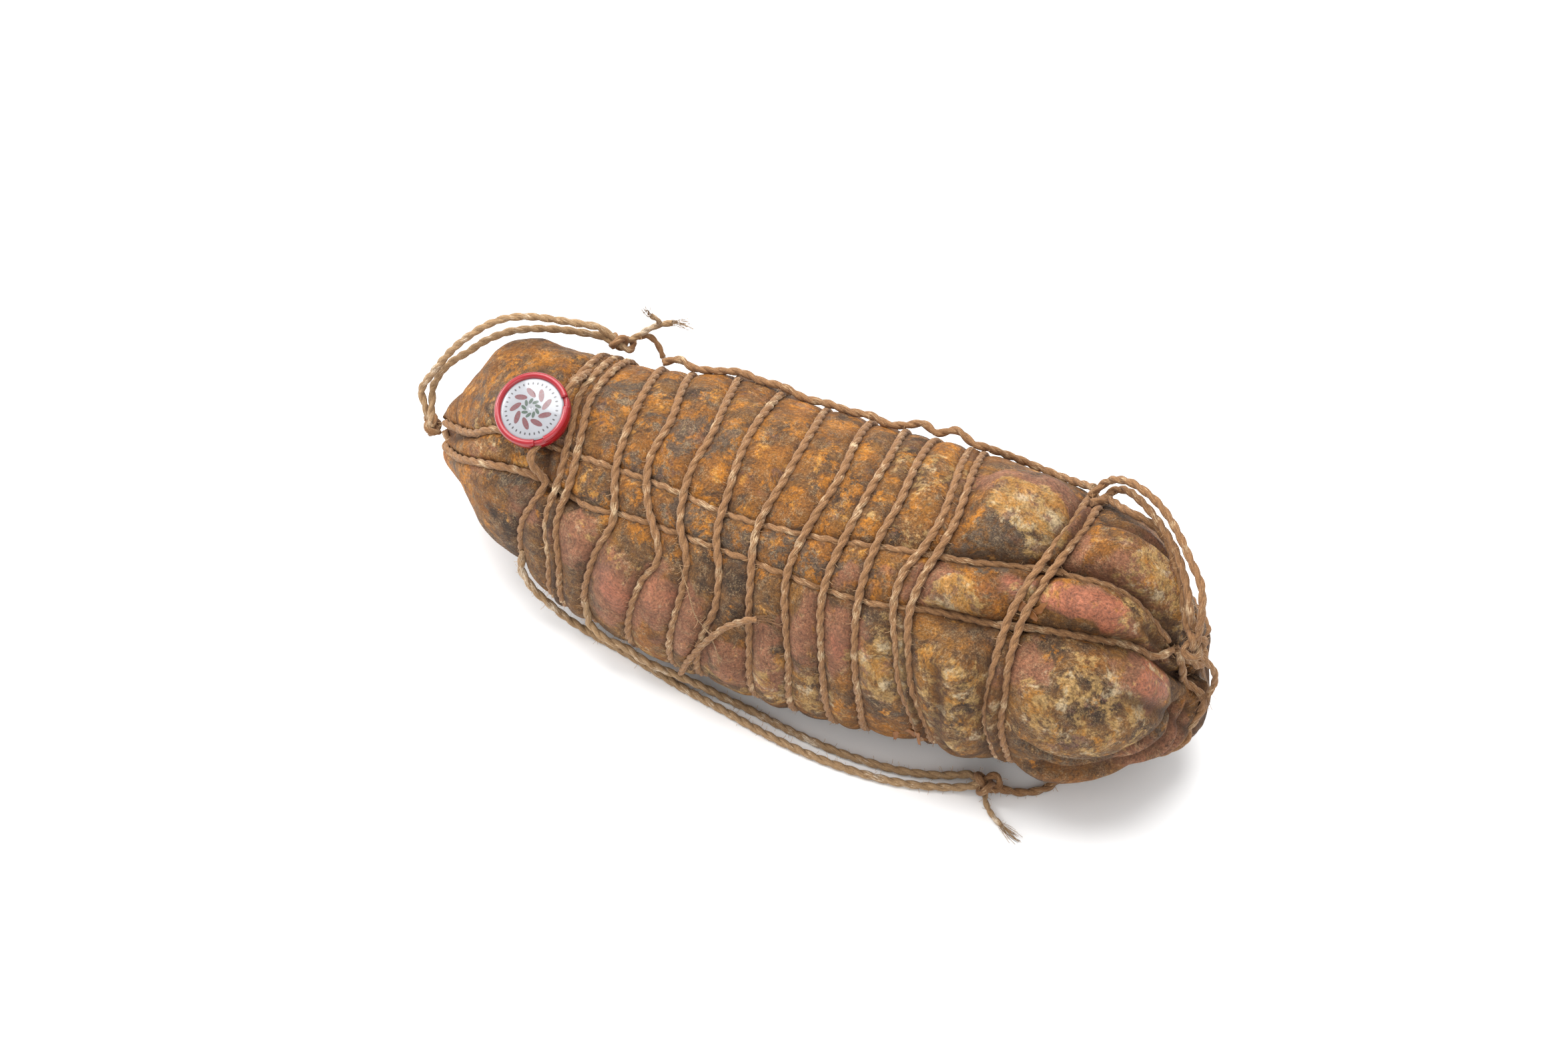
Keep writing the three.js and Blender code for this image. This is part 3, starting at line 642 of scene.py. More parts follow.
def hempMaterial(name, dark, light, pale):  # spun bast fibre: matt, streaked along each ply
    material, tree, place = emptyMaterial(name)
    angle = mathNode(tree, "MULTIPLY", attributeNode(tree, "around"), 2 * math.pi)
    across = [
        mathNode(tree, "MULTIPLY", mathNode(tree, operation, angle), 2.6)
        for operation in ("COSINE", "SINE")
    ]
    stretched = mathNode(tree, "MULTIPLY", attributeNode(tree, "along"), 260.0)
    fibre = addNode(tree, "ShaderNodeTexNoise", {
        "Vector": joinNode(tree, *across, stretched), "Scale": 1.6, "Detail": 4.0, "Roughness": 0.65,
    }).outputs["Fac"]
    patch = noiseNode(tree, place, 7, 3.0)
    fuzz = noiseNode(tree, place, 0.5)
    colour = mixNode(tree, rangeNode(tree, fibre, 0.34, 0.66), dark, light)
    # painted highlight: where the fibre streaks and patches are palest, the third colour is mixed in
    paintedHighlight = rangeNode(tree, mathNode(tree, "ADD", fibre, patch), 1.10, 1.30, 0.0, 0.8)
    colour = mixNode(tree, paintedHighlight, colour, pale)
    colour = scaleNode(tree, colour, rangeNode(tree, fuzz, 0.3, 0.7, 0.82, 1.15))
    height = mathNode(tree, "ADD", fibre, fuzz)
    return finishMaterial(material, {
        "Base Color": colour, "Roughness": 0.86, "Normal": bumpNode(tree, height, 0.7, 0.0003),
        "Sheen Weight": 0.1, "Sheen Roughness": 0.5, "Specular IOR Level": 0.2,
    })


# the third colour of each hemp is the colour of its painted highlights
brownHemp = hempMaterial("smoked hemp twine", "#674830", "#99724C", "#CDB692")
paleHemp = hempMaterial("pale hemp twine", "#7A5F44", "#AA8B66", "#E2D6C2")
laidTwine = twineTree()
laidPaths = []  # where the loose fibres grow later


def lengthOf(points, closed=False):
    path = np.vstack([points, points[:1]]) if closed else np.asarray(points)
    return np.linalg.norm(np.diff(path, axis=0), axis=1).sum()


def evenPath(points, step, closed=False):
    path = np.vstack([points, points[:1]]) if closed else np.asarray(points, float)
    reached = np.r_[0, np.cumsum(np.linalg.norm(np.diff(path, axis=0), axis=1))]
    count = max(int(round(reached[-1] / step)), 4)
    wanted = np.linspace(0, reached[-1], count + 1)[:count + (not closed)]
    return np.stack([np.interp(wanted, reached, path[:, i]) for i in range(3)], -1)


# a smooth line through the points, by centripetal steps
def curvedPath(points, step=1.5, closed=False):
    points = np.asarray(points, float)
    if closed:
        points = np.vstack([points[-2:], points, points[:3]])
    knots = np.r_[0, np.cumsum(np.linalg.norm(np.diff(points, axis=0), axis=1) ** 0.5)]
    fine = np.linspace(knots[2], knots[-3], 1200) if closed else np.linspace(0, knots[-1], 900)
    dense = np.stack([smoothRun(np.c_[knots, points[:, i]], fine) for i in range(3)], -1)
    if closed:
        dense = dense[:-1]
    return evenPath(dense, step, closed)


def layTwine(name, points, material, closed=False, scale=1.0):
    length = lengthOf(points, closed)
    pitch = twine["pitch"] * scale
    if closed:
        pitch = length / round(length / pitch)
    laidPaths.append((points, closed))
    return grown(name, laidTwine, points, closed, {
        "Pitch": pitch * mm,
        "Ply Radius": twine["plyRadius"] * scale * mm,
        "Ply Offset": twine["plyOffset"] * scale * mm,
        "Step": twine["step"] * mm,
        "Material": material,
    })


def hempSlot(material):
    return "hemp_twine" if material is brownHemp else "pale_hemp_twine"


# the cords that leave the coppa
freeRoutes = {
    "hanging_loop_outer": [
        [-161, 10.5, 46], [-159.5, 11, 50], [-156.5, 12, 55], [-153, 13, 61], [-149, 14.5, 67],
        [-145, 16, 72], [-141, 17.5, 76], [-137.5, 19, 79], [-133.5, 20.5, 81.5],
        [-130, 22, 83], [-126, 23.5, 83.8], [-122, 25, 84], [-117.5, 26.5, 83.7],
        [-113.5, 28, 83], [-106, 30.5, 82], [-100.5, 32.5, 81],
    ],
    "hanging_loop_inner": [
        [-158.3, 14.5, 46], [-156.5, 14.7, 50], [-154, 15, 55], [-149.5, 16.5, 60.5],
        [-144, 18, 65.5], [-140.5, 19.5, 69], [-136.6, 21, 72], [-133, 22.5, 74],
        [-129.5, 24, 75.5], [-122, 27, 76.8], [-113, 30, 77], [-106, 32, 76.5],
        [-100.5, 33.5, 76],
    ],
    "long_loop_lower": [
        [-100.1, -34, 23.8], [-95.2, -35.1, 17.5], [-89, -34.6, 11.5], [-83, -34, 6.5],
        [-76, -33.8, 3.2], [-70, -34.3, 1.8], [-62, -35.8, 1.7], [-50, -39, 1.7],
        [-34, -43.2, 1.7], [-18, -46.5, 1.7], [-2, -50, 1.7], [11, -52, 1.7], [23, -53, 1.7],
        [35, -53, 1.7], [46, -52, 1.7], [56, -49.8, 1.7], [65, -46.8, 2], [69.8, -45.2, 2.8],
    ],
    "long_loop_upper": [
        [-69.4, -43.5, 19.4], [-62.5, -45.5, 16.8], [-55.2, -44.7, 14.9], [-48.2, -45.1, 11.9],
        [-41.1, -43.9, 9.0], [-34, -42.4, 6.2], [-27.5, -41.3, 3.6], [-20, -41.4, 1.9],
        [-10, -42.6, 1.7], [3, -45, 1.7], [14, -46.6, 1.7], [24, -47.5, 1.7], [35, -47.6, 1.7],
        [47, -46.6, 1.7], [58, -43.8, 1.7], [65, -41.2, 2.2], [69.4, -39.6, 3.2],
    ],
    "end_loop_outer": [
        [87.5, 24, 90], [91.7, 22, 95], [98.3, 19.5, 98], [106.8, 16, 97.5], [113.4, 12, 95.5],
        [119.6, 7, 92.5], [124.6, 2, 90], [129.9, -3, 87], [132.4, -7.5, 83.5],
        [133.6, -11, 79.5],
    ],
    "end_loop_middle": [
        [90.5, 25.5, 86.5], [95, 23.5, 90], [100.5, 19.5, 92], [107, 15, 91.8],
        [113, 10.5, 90.2], [118.8, 6, 87], [123.5, 0.5, 84], [127, -4.5, 80.5],
        [129.3, -8.8, 78],
    ],
    "end_loop_inner": [
        [90.4, 21, 86.2], [94.5, 17.2, 88.8], [98.9, 14.2, 90.4], [103, 14.2, 89.6],
        [106.8, 14.4, 88], [110, 14, 86.4], [113, 12.6, 84.8], [116.3, 8.6, 84.1],
        [119, 4.4, 83.5], [121.5, 1.2, 81.2],
    ],
}


def placed(points):
    moved = np.asarray(points, float) - [middle[0], middle[1], 0]
    return notBelow(moved, twine["thickness"] / 2 + 0.2)


# where each free cord is held at its start and end: mark, angle, mm off the trunk, or the table's knot
heldAt = {
    "hanging_loop_outer": [(-168, 120, 3.0), (-93, -43, 6.2)],
    "hanging_loop_inner": [(-166, 100, 3.0), (-93, -41, 5.6)],
    "long_loop_lower": [(-100, 106, 0.5), None],
    "long_loop_upper": [(-71, 106, 0.5), None],
    "end_loop_outer": [(84, -31, 1.6), (138, 20, 5.2)],
    "end_loop_middle": [(88, -29, 1.6), (137, 14, 5.2)],
    "end_loop_inner": [(86, -24, 1.6), (134, 14, 4.0)],
}
tableKnot = (76.5, -42.5, 4.9)


def runOn(name, path):
    ends = [
        placed([tableKnot]) if held is None else pointOver(*held)[None] for held in heldAt[name]
    ]
    return evenPath(np.vstack([ends[0], path, ends[1]]), 2.0)


def layFreeCords():
    for name, route in freeRoutes.items():
        path = runOn(name, curvedPath(placed(route), 2.0))
        hemp = brownHemp if name.startswith("end") else paleHemp
        piece = settle(layTwine(name + "_laid", path, hemp), hempSlot(hemp), name)
        print("cord", name, round(lengthOf(path), 1), "mm")


layFreeCords()

# the twine that the coppa holds
turnLevel = 0.2  # mm off the trunk, centre of a turn
restLift = 1.65  # mm, least height of the centre of twine under the coppa
strandRest = {
    "step": 1.5,  # mm from point to point
    "underTurn": 2.6,  # mm on each side of a turn where the strand dips under it
    "sunk": 0.25,  # how deep it lies in the meat, where 1 is 0.45 of its thickness
    "sunkMore": 1.2,  # how much deeper on the trunk
    "trunkMarks": (-112, -80, 45, 62),  # where that begins, is full, ends and is over
    "lift": 0.4,
}


def frameOver(mark, angle, off, tilt=(0, 0, 0)):
    at = pointOver(mark, angle, off)
    forward = pointOver(mark + 3, angle, off) - pointOver(mark - 3, angle, off)
    aroundIt = pointOver(mark, angle + 3, off) - pointOver(mark, angle - 3, off)
    out = np.cross(aroundIt, forward)
    out = out / np.linalg.norm(out) + np.asarray(tilt)
    out /= np.linalg.norm(out)
    forward = forward - out * (forward @ out)
    forward /= np.linalg.norm(forward)
    return at, forward, np.cross(out, forward), out


seal = {
    "mark": -101.3, "angle": 27.0, "off": 7.2, "tilt": (0.2, -0.06, 0),
    "twineAt": 7.4,  # mm from its middle to the twine that it clips
    "clearAngle": 27,  # degrees from its middle to where that twine lies on the casing
    "diameter": 26.0,
    "rimWidth": 2.3,
    "base": -1.8, "top": 3.9,  # mm along its axis
    "wallLow": -1.45, "wallBevel": 0.35,
    "faceBack": 1.7, "faceEdge": 2.9, "dome": 1.0,
    "wallIn": 0.3, "backIn": 0.55,  # mm inside the rim's outline
    "notches": (38, -47), "notchHalf": 8.5,  # degrees round the rim
}
sealFrame = frameOver(seal["mark"], seal["angle"], seal["off"], seal["tilt"])
faceRadius = seal["diameter"] / 2 - seal["rimWidth"] + 0.35


def inSeal(points):
    points = np.atleast_2d(np.asarray(points, float))
    at, forward, side, out = sealFrame
    return at + points @ np.stack([forward, side, out])


def turnPath(name):
    angles = np.arange(-60, 300, 2.0)
    marks = smoothRound(turns[name], angles)
    level = turnLevel + 0.25 * lumps(np.stack([angles / 9, marks / 9], -1), 1.0, 21)
    points = notBelow(pointOver(marks, angles, level), restLift)
    if name == "seal_turn":
        away = anglePast(angles, seal["angle"])
        reach = seal["diameter"] / 2 + 2
        through = inSeal([[seal["twineAt"], s * reach, 0] for s in (1, 0.4, -0.4, -1)])
        clear = seal["clearAngle"]
        points = np.vstack([through, points[away >= clear], points[away <= -clear]])
    return curvedPath(points, 1.2, closed=True)


# each strand runs on over the blunt end to its knot: mark, angle
strandsGather = {
    "strand_front_upper": [(131, 17), (133.5, 18), (136, 19)],
    "strand_front_lower": [(133, 36), (135.5, 31), (137, 26)],
    "strand_under": [(152, 156), (156, 140), (157, 110), (155, 70), (149, 38), (141, 24)],
    "strand_back": [(152, 288), (156, 300), (157, 330), (155, 355), (149, 12), (141, 18)],
}


# a strand lies on the meat, sinks into it between the ends, and goes under each turn
def strandPath(name, start, end):
    rest = strandRest
    marks = np.arange(start, end, rest["step"])
    angles = smoothRun(strands[name], marks)
    more = np.array(strandsGather[name], float)
    marks, angles = np.r_[marks, more[:, 0]], np.r_[angles, more[:, 1]]
    level = meatLevel(marks, angles)
    under = bell(toTurn(marks, angles), rest["underTurn"])
    begins, full, ends, over = rest["trunkMarks"]
    onTrunk = fadeIn(marks, begins, full) * (1 - fadeIn(marks, ends, over))
    sunk = rest["sunk"] + rest["sunkMore"] * onTrunk
    free = level + twine["thickness"] * (0.5 - sunk * 0.45) + rest["lift"]
    lift = free * (1 - under) + (turnLevel - twine["thickness"]) * under
    return curvedPath(notBelow(pointOver(marks, angles, lift), restLift), 1.2)


running = {  # lengths in mm, angles in degrees
    "angle": -40,
    "gap": 0.15,  # from it to a turn that it crosses
    "clear": 1.3,  # from its middle to the meat
    "longSpan": 18,  # from turn to turn, above which a stretch takes three points
    "arches": {"turn_1": 3.0, "turn_7": 3.0, "turn_8": 3.0},  # how high it stands off after a turn
    "behind": {"turn_9_b": 14},  # how far it strays to the back after a turn
}


# over each turn and down towards the meat between them
def runningPath():
    names = turnNames[turnNames.index("turn_1"):turnNames.index("end_turn_a") + 1]
    marks = [float(smoothRound(turns[name], running["angle"])) for name in names]
    over = turnLevel + twine["thickness"] + running["gap"]
    points = [pointOver(marks[0], running["angle"], over)]
    for name, here, ahead in zip(names, marks, marks[1:]):
        count = 3 if ahead - here > running["longSpan"] else 1
        for k in range(1, count + 1):
            share = k / (count + 1)
            swing = math.sin(share * math.pi)
            mark = here + (ahead - here) * share
            angle = running["angle"] - running["behind"].get(name, 0) * swing
            level = float(meatLevel(np.array([mark]), np.array([angle]))[0]) + running["clear"]
            points.append(pointOver(mark, angle, level + running["arches"].get(name, 0) * swing))
        points.append(pointOver(ahead, running["angle"], over))
    return curvedPath(np.array(points), 1.2)


# a length of brown twine along the path
def hempPiece(name, path, *nodes, **settings):
    settle(layTwine(name, path, brownHemp, **settings), "hemp_twine", *nodes)


for turnName in turnNames:
    hempPiece(turnName + "_laid", turnPath(turnName), turnName, closed=True)
strandEnds = {
    "strand_front_upper": (-165, 129), "strand_front_lower": (-165, 131),
    "strand_under": (-164, 146), "strand_back": (-164, 146),
}
for strandName, ends in strandEnds.items():
    hempPiece(strandName + "_laid", strandPath(strandName, *ends), strandName)
hempPiece("running_line_laid", runningPath(), "running_line")
print("turns, strands and running line laid")

# place on the casing, or the point on the table, and the size of the loops in mm
knots = {
    "tip_knot": {"at": (-168, 120), "off": 2.4, "size": 3.1},
    "top_knot": {"at": (-93, -43), "off": 6.2, "size": 3.4},
    "end_knot": {"at": (137, 20), "off": 5.2, "size": 3.4},
    "table_knot": {"point": tableKnot, "size": 3.3},
}


def knotMiddle(knot):
    if "point" in knot:
        return placed([knot["point"]])[0], np.eye(3)
    at, forward, side, out = frameOver(*knot["at"], knot["off"])
    return at, np.stack([forward, side, out])


# each knot is one closed trefoil of twine
def tieKnots():
    for name, knot in knots.items():
        at, axes = knotMiddle(knot)
        t = np.linspace(0, 2 * math.pi, 60, endpoint=False)
        loop = np.stack([
            np.sin(t) + 2 * np.sin(2 * t), np.cos(t) - 2 * np.cos(2 * t), -1.25 * np.sin(3 * t),
        ], -1) / 3 * (knot["size"] + 0.9)
        hempPiece(name + "_tied", at + loop @ axes, name, closed=True, scale=0.93)


tieKnots()

# loose ends: points in millimetres from the knot, or over the casing as mark and angle
tails = {
    "top_tail_pale": {
        "from": "top_knot", "material": paleHemp, "scale": 0.85, "fray": 7.0,
        "points": [[0, 0, 0], [4.5, 2, 2.5], [8.5, 4, 6], [12.5, 5.5, 8.5], [16.5, 7, 9.5]],
    },
    "top_tail_up": {
        "from": "top_knot", "material": paleHemp, "scale": 0.7, "fray": 5.0,
        "points": [[8.5, 4, 6], [11.5, 5.5, 8], [12.5, 4.5, 11], [10.5, 3, 14]],
    },
    "top_tail_down": {
        "from": "top_knot", "material": brownHemp, "scale": 0.8, "fray": 3.0,
        "points": [[5, 2.5, 2.5], [9, 4, 3], [12.5, 3.5, 0.5], [15, 2, -3]],
    },
    "end_tail": {
        "from": "end_knot", "material": brownHemp, "scale": 0.85, "fray": 6.0,
        "points": [
            [0, 0, 0], [2.5, 0, -3], [4.5, 1, -7], [7, 2.5, -12], [7.5, 3, -18], [6, 2.5, -24],
        ],
    },
    "front_tail": {
        "material": brownHemp, "scale": 0.85, "fray": 8.0,
        "over": [(-33, 122), (-28, 108), (-21, 94), (-14, 83), (-7, 76), (-3, 74)],
    },
    "stray_fibre": {
        "material": paleHemp, "scale": 0.14, "fray": 1.0,
        "over": [(-34, 64), (-30, 72), (-25, 82), (-20, 90), (-15, 97)],
    },
    "under_end": {
        "from": "table_knot", "material": brownHemp, "scale": 1.0, "fray": 2.0,
        "points": [
            [0, 0, 0], [5, 1.5, -2.2], [12, 4, -3.2], [18, 9, -3.3], [21, 17, -3.3], [22, 26, -3.3],
        ],
    },
    "table_tail": {
        "from": "table_knot", "material": paleHemp, "scale": 0.7, "fray": 8.0,
        "points": [[0, 0, 0], [0.5, -2.5, -2], [2, -5.5, -3.2], [6, -9.5, -3.4], [10, -12, -3.5]],
    },
}


# bent fibres planted on the points and turned their way
def plantFibres(tree, given, points, turned, bend, steps, capped, sizes):
    handles = zip(("Start", "Start Handle", "End Handle", "End"), bend)
    fibre = addNode(tree, "GeometryNodeCurvePrimitiveBezierSegment", {
        "Resolution": steps, **dict(handles),
    })
    scaled = addNode(tree, "GeometryNodeTransform", {
        "Geometry": fibre.outputs[0], "Scale": joinNode(tree, *[given["Fibre Length"]] * 3),
    })
    solid = addNode(tree, "GeometryNodeCurveToMesh", {
        "Curve": scaled.outputs[0], "Profile Curve": circleNode(tree, 3, given["Fibre Radius"]),
        "Fill Caps": capped,
    })
    planted = addNode(tree, "GeometryNodeInstanceOnPoints", {
        "Points": points, "Instance": solid.outputs[0], "Rotation": turned,
        "Scale": randomNode(tree, *sizes),
    })
    return finishTree(tree, given, planted.outputs[0])


# a brush of fibres at the end of the line
def frayTree():
    tree, given = newTree("frayed fibres", {
        "Count": "Int", "Fibre Length": "Float", "Fibre Radius": "Float", "Spread": "Float",
    })
    end = addNode(tree, "GeometryNodeSampleCurve", {
        "Curves": given["Geometry"], "Factor": 1.0,
    }, mode="FACTOR")
    rootAt = vectorNode(tree, "ADD", end.outputs["Position"], randomVectorNode(tree, 0.8 * mm, 4))
    roots = addNode(tree, "GeometryNodePoints", {"Count": given["Count"], "Position": rootAt})
    leaned = scaleNode(tree, randomVectorNode(tree, 1.0, 9), given["Spread"])
    way = vectorNode(tree, "ADD", end.outputs["Tangent"], leaned)
    turned = addNode(tree, "FunctionNodeAlignRotationToVector", {"Vector": way}, axis="Z").outputs[0]
    bend = ((0, 0, 0), (0, 0, 0.3), (0.12, 0, 0.7), (0.3, 0, 1.0))
    return plantFibres(tree, given, roots.outputs[0], turned, bend, 4, True, (0.45, 1.15, 2))


fray = {"count": 34, "radius": 0.09, "spread": 0.42}  # fibres to a tail, and their radius in mm
frayedFibres = frayTree()


# the pieces as one object, on that name
def joined(name, pieces):
    bpy.ops.object.select_all(action="DESELECT")
    for piece in pieces:
        piece.select_set(True)
    bpy.context.view_layer.objects.active = pieces[0]
    bpy.ops.object.join()
    pieces[0].name = name
    return pieces[0]


lowestFibre = 0.1  # mm over the table


def keepAboveTable(piece):
    for vertex in piece.data.vertices:
        vertex.co.z = max(vertex.co.z, lowestFibre * mm)


def layTails():
    for name, tail in tails.items():
        if "over" in tail:
            marks, angles = np.array(tail["over"], float).T
            overTurn = 3.4 * bell(toTurn(marks, angles), 3)
            points = pointOver(marks, angles, np.maximum(meatLevel(marks, angles) + 1.2, overTurn))
        else:
            points = np.array(tail["points"], float) + knotMiddle(knots[tail["from"]])[0]
        path = curvedPath(notBelow(points, 1.5), 1.0)
        body = layTwine(name + "_body", path, tail["material"], scale=tail["scale"])
        brush = grown(name + "_fray", frayedFibres, path, False, {
            "Count": fray["count"], "Fibre Length": tail["fray"] * mm,
            "Fibre Radius": fray["radius"] * mm, "Spread": fray["spread"], "Material": tail["material"],
        })
        piece = joined(name, [body, brush])
        keepAboveTable(piece)
        settle(piece, hempSlot(tail["material"]))


layTails()
print("knots and tails tied")

# loose fibres standing off the twine
fuzz = {
    "every": 1.0,  # mm of twine to each fibre
    "length": 2.1,
    "radius": 0.045,
    "seed": 5,
}


# single fibres that stand off all along the line
def fuzzTree():
    tree, given = newTree("twine fuzz", {
        "Spacing": "Float", "Fibre Length": "Float", "Fibre Radius": "Float", "Seed": "Int",
    })
    along = addNode(tree, "GeometryNodeResampleCurve", {
        "Curve": given["Geometry"], "Length": given["Spacing"],
    }, mode="LENGTH")
    spots = addNode(tree, "GeometryNodeCurveToPoints", {"Curve": along.outputs[0]}, mode="EVALUATED")
    spin = randomNode(tree, 0.0, 2 * math.pi, given["Seed"])
    tip = randomNode(tree, 0.35, 1.45, 17)
    turned = addNode(tree, "FunctionNodeRotateRotation", {
        "Rotation": spots.outputs["Rotation"], "Rotate By": joinNode(tree, 0.0, tip, spin),
    }, rotation_space="LOCAL").outputs[0]
    bend = ((0, 0, 0), (0, 0, 0.35), (0.2, 0.05, 0.75), (0.45, 0.1, 0.95))
    return plantFibres(tree, given, spots.outputs[0], turned, bend, 3, False, (0.5, 1.6, 3))


def fuzzMaterial():  # single bast fibres: fine, pale and a little glossy where the light catches
    material, tree, place = emptyMaterial("hemp fuzz")
    colour = mixNode(tree, noiseNode(tree, place, 3), "#8E6640", "#CDAA80")
    return finishMaterial(material, {"Base Color": colour, "Roughness": 0.7})


def growFuzz():
    tree, material = fuzzTree(), fuzzMaterial()
    tufts = []
    for k, (points, closed) in enumerate(laidPaths):
        tufts.append(grown("fuzz", tree, points, closed, {
            "Spacing": fuzz["every"] * mm, "Fibre Length": fuzz["length"] * mm,
            "Fibre Radius": fuzz["radius"] * mm, "Seed": fuzz["seed"] + k, "Material": material,
        }))
    piece = settle(joined("twine_fuzz", tufts), "hemp_twine")
    keepAboveTable(piece)
    print("fuzz", len(piece.data.polygons), "faces")


growFuzz()


# a profile of radius and height swept round the seal's axis, from one angle to the other
def ringOf(profile, start, end, count, closed):
    angles = np.radians(np.linspace(start, end, count, endpoint=not closed))
    points = [(r * math.cos(a), r * math.sin(a), z) for a in angles for r, z in profile]
    across = len(profile)
    faces = []
    for i in range(count if closed else count - 1):
        for j in range(across):
            here, there = i * across, (i + 1) % count * across
            nextJ = (j + 1) % across
            faces.append((here + j, there + j, there + nextJ, here + nextJ))
    if not closed:
        faces.append(tuple(range(across)))
        faces.append(tuple((count - 1) * across + j for j in reversed(range(across))))
    return points, faces


def sealMaterials():
    # injection-moulded polypropylene: smooth and glossy, with faint flow marks
    material, tree, place = emptyMaterial("red moulded polypropylene")
    flow = noiseNode(tree, place, 6, 3.0)
    red = finishMaterial(material, {
        "Base Color": mixNode(tree, flow, "#7C0410", "#980A1B"), "Roughness": 0.27,
        "Normal": bumpNode(tree, flow, 0.15, 0.0002), "Coat Weight": 0.3,
    })
    # printed and domed clear resin over white: very glossy
    material, tree, place = emptyMaterial("white domed resin")
    white = finishMaterial(material, {
        "Base Color": mixNode(tree, noiseNode(tree, place, 5, 4.0), "#848589", "#98999D"),
        "Roughness": 0.16, "Coat Weight": 0.6, "Coat Roughness": 0.05,
    })
    return red, white


sealRed, sealWhite = sealMaterials()


def sealPiece(name, ring, material, slot, node):
    points, faces = ring
    settle(newObject(name, inSeal(points) * mm, faces, material), slot, node)


# height of the face's dome at a share of the way from its middle to its edge
def domeHeight(share):
    return seal["faceEdge"] + seal["dome"] * (1 - share ** 2)


def makeSeal():
    outer = seal["diameter"] / 2
    wide = seal["rimWidth"] / 2
    centre, height = outer - wide, seal["top"] - wide
    bead = [
        (centre + wide * math.cos(a), height + 1.05 * wide * math.sin(a))
        for a in np.linspace(0, 2 * math.pi, 16, endpoint=False)
    ]
    first, second = seal["notches"]
    half = seal["notchHalf"]
    points, faces = ringOf(bead, first + half, second + 360 - half, 110, False)
    inside = outer - seal["rimWidth"] + 0.4
    wallOut, wallLow = outer - seal["wallIn"], seal["wallLow"]
    wall = [
        (inside, wallLow), (outer - seal["backIn"], wallLow), (wallOut, wallLow + seal["wallBevel"]),
        (wallOut, height), (inside, height),
    ]
    shortBead = ringOf(bead, second + half, first - half, 34, False)
    for more, moreFaces in (shortBead, ringOf(wall, 0, 360, 96, True)):
        faces += [tuple(v + len(points) for v in face) for face in moreFaces]
        points += more
    sealPiece("seal_rim_moulded", (points, faces), sealRed, "seal_red", "seal_rim")
    base, r = seal["base"], outer - seal["backIn"]
    low = base - 0.9
    cup = [
        (0.001, low), (r - 0.8, low), (r - 0.2, low + 0.25), (r, low + 0.8), (r, base + 0.2),
        (r - 0.9, base + 0.35), (0.001, base + 0.35),
    ]
    sealPiece("seal_back_moulded", ringOf(cup, 0, 360, 72, True), sealRed, "seal_red", "seal_back")
    dome = [(faceRadius * s, domeHeight(s)) for s in np.linspace(1, 0.0001, 14)]
    face = [(0.001, seal["faceBack"]), (faceRadius, seal["faceBack"])] + dome
    sealPiece("seal_face_domed", ringOf(face, 0, 360, 72, True), sealWhite, "seal_white", "seal_face")


makeSeal()


def printInk(name, hexColour):  # screen-printed ink under the resin: flat, with a fine grain
    material, tree, place = emptyMaterial(name)
    colour = mixNode(tree, noiseNode(tree, place, 0.4), hexColour, "#5F5B5D")
    return finishMaterial(material, {"Base Color": colour, "Roughness": 0.2, "Coat Weight": 0.5})


# rings of printed marks: how many, ring's radius, each one's length and width in mm, lean, ink
rings = [
    (9, 5.5, 4.6, 1.9, 0.7, "brick ink", "#6E1218"),
    (9, 2.5, 2.3, 1.1, -0.6, "sage ink", "#1F4A2E"),
    (34, 8.9, 0.95, 0.5, 0.0, "grey ink", "#1E1F22"),
]


def printTree():
    tree, given = newTree("ring of marks", {
        "Count": "Int", "Ring Radius": "Float", "Length": "Float", "Width": "Float", "Lean": "Float",
    })
    ring = circleNode(tree, given["Count"], given["Ring Radius"])
    spots = addNode(tree, "GeometryNodeCurveToPoints", {"Curve": ring}, mode="EVALUATED")
    leaf = addNode(tree, "GeometryNodeMeshCircle", {"Vertices": 14, "Radius": 0.5}, fill_type="NGON")
    shaped = addNode(tree, "GeometryNodeTransform", {
        "Geometry": leaf.outputs[0], "Scale": joinNode(tree, given["Length"], given["Width"], 1.0),
    })
    place = addNode(tree, "GeometryNodeInputPosition").outputs[0]
    x, y = addNode(tree, "ShaderNodeSeparateXYZ", {0: place}).outputs[:2]
    leaned = mathNode(tree, "ADD", mathNode(tree, "ARCTAN2", y, x), given["Lean"])
    planted = addNode(tree, "GeometryNodeInstanceOnPoints", {
        "Points": spots.outputs[0], "Instance": shaped.outputs[0],
        "Rotation": joinNode(tree, 0.0, 0.0, leaned),
    })
    return finishTree(tree, given, planted.outputs[0])


def printSeal():
    tree = printTree()
    pieces = []
    for count, radius, length, width, lean, name, hexColour in rings:
        pieces.append(grown(name, tree, [(0, 0, 0), (0, 0, 1)], False, {
            "Count": count, "Ring Radius": radius, "Length": length, "Width": width,
            "Lean": lean, "Material": printInk(name, hexColour),
        }))
    piece = joined("seal_print", pieces)
    flat = np.zeros(len(piece.data.vertices) * 3)
    piece.data.vertices.foreach_get("co", flat)
    flat = flat.reshape(-1, 3)
    flat[:, 2] = domeHeight(np.hypot(flat[:, 0], flat[:, 1]) / faceRadius) + 0.04
    piece.data.vertices.foreach_set("co", (inSeal(flat) * mm).ravel())
    settle(piece, "seal_white")


printSeal()
print("seal made")

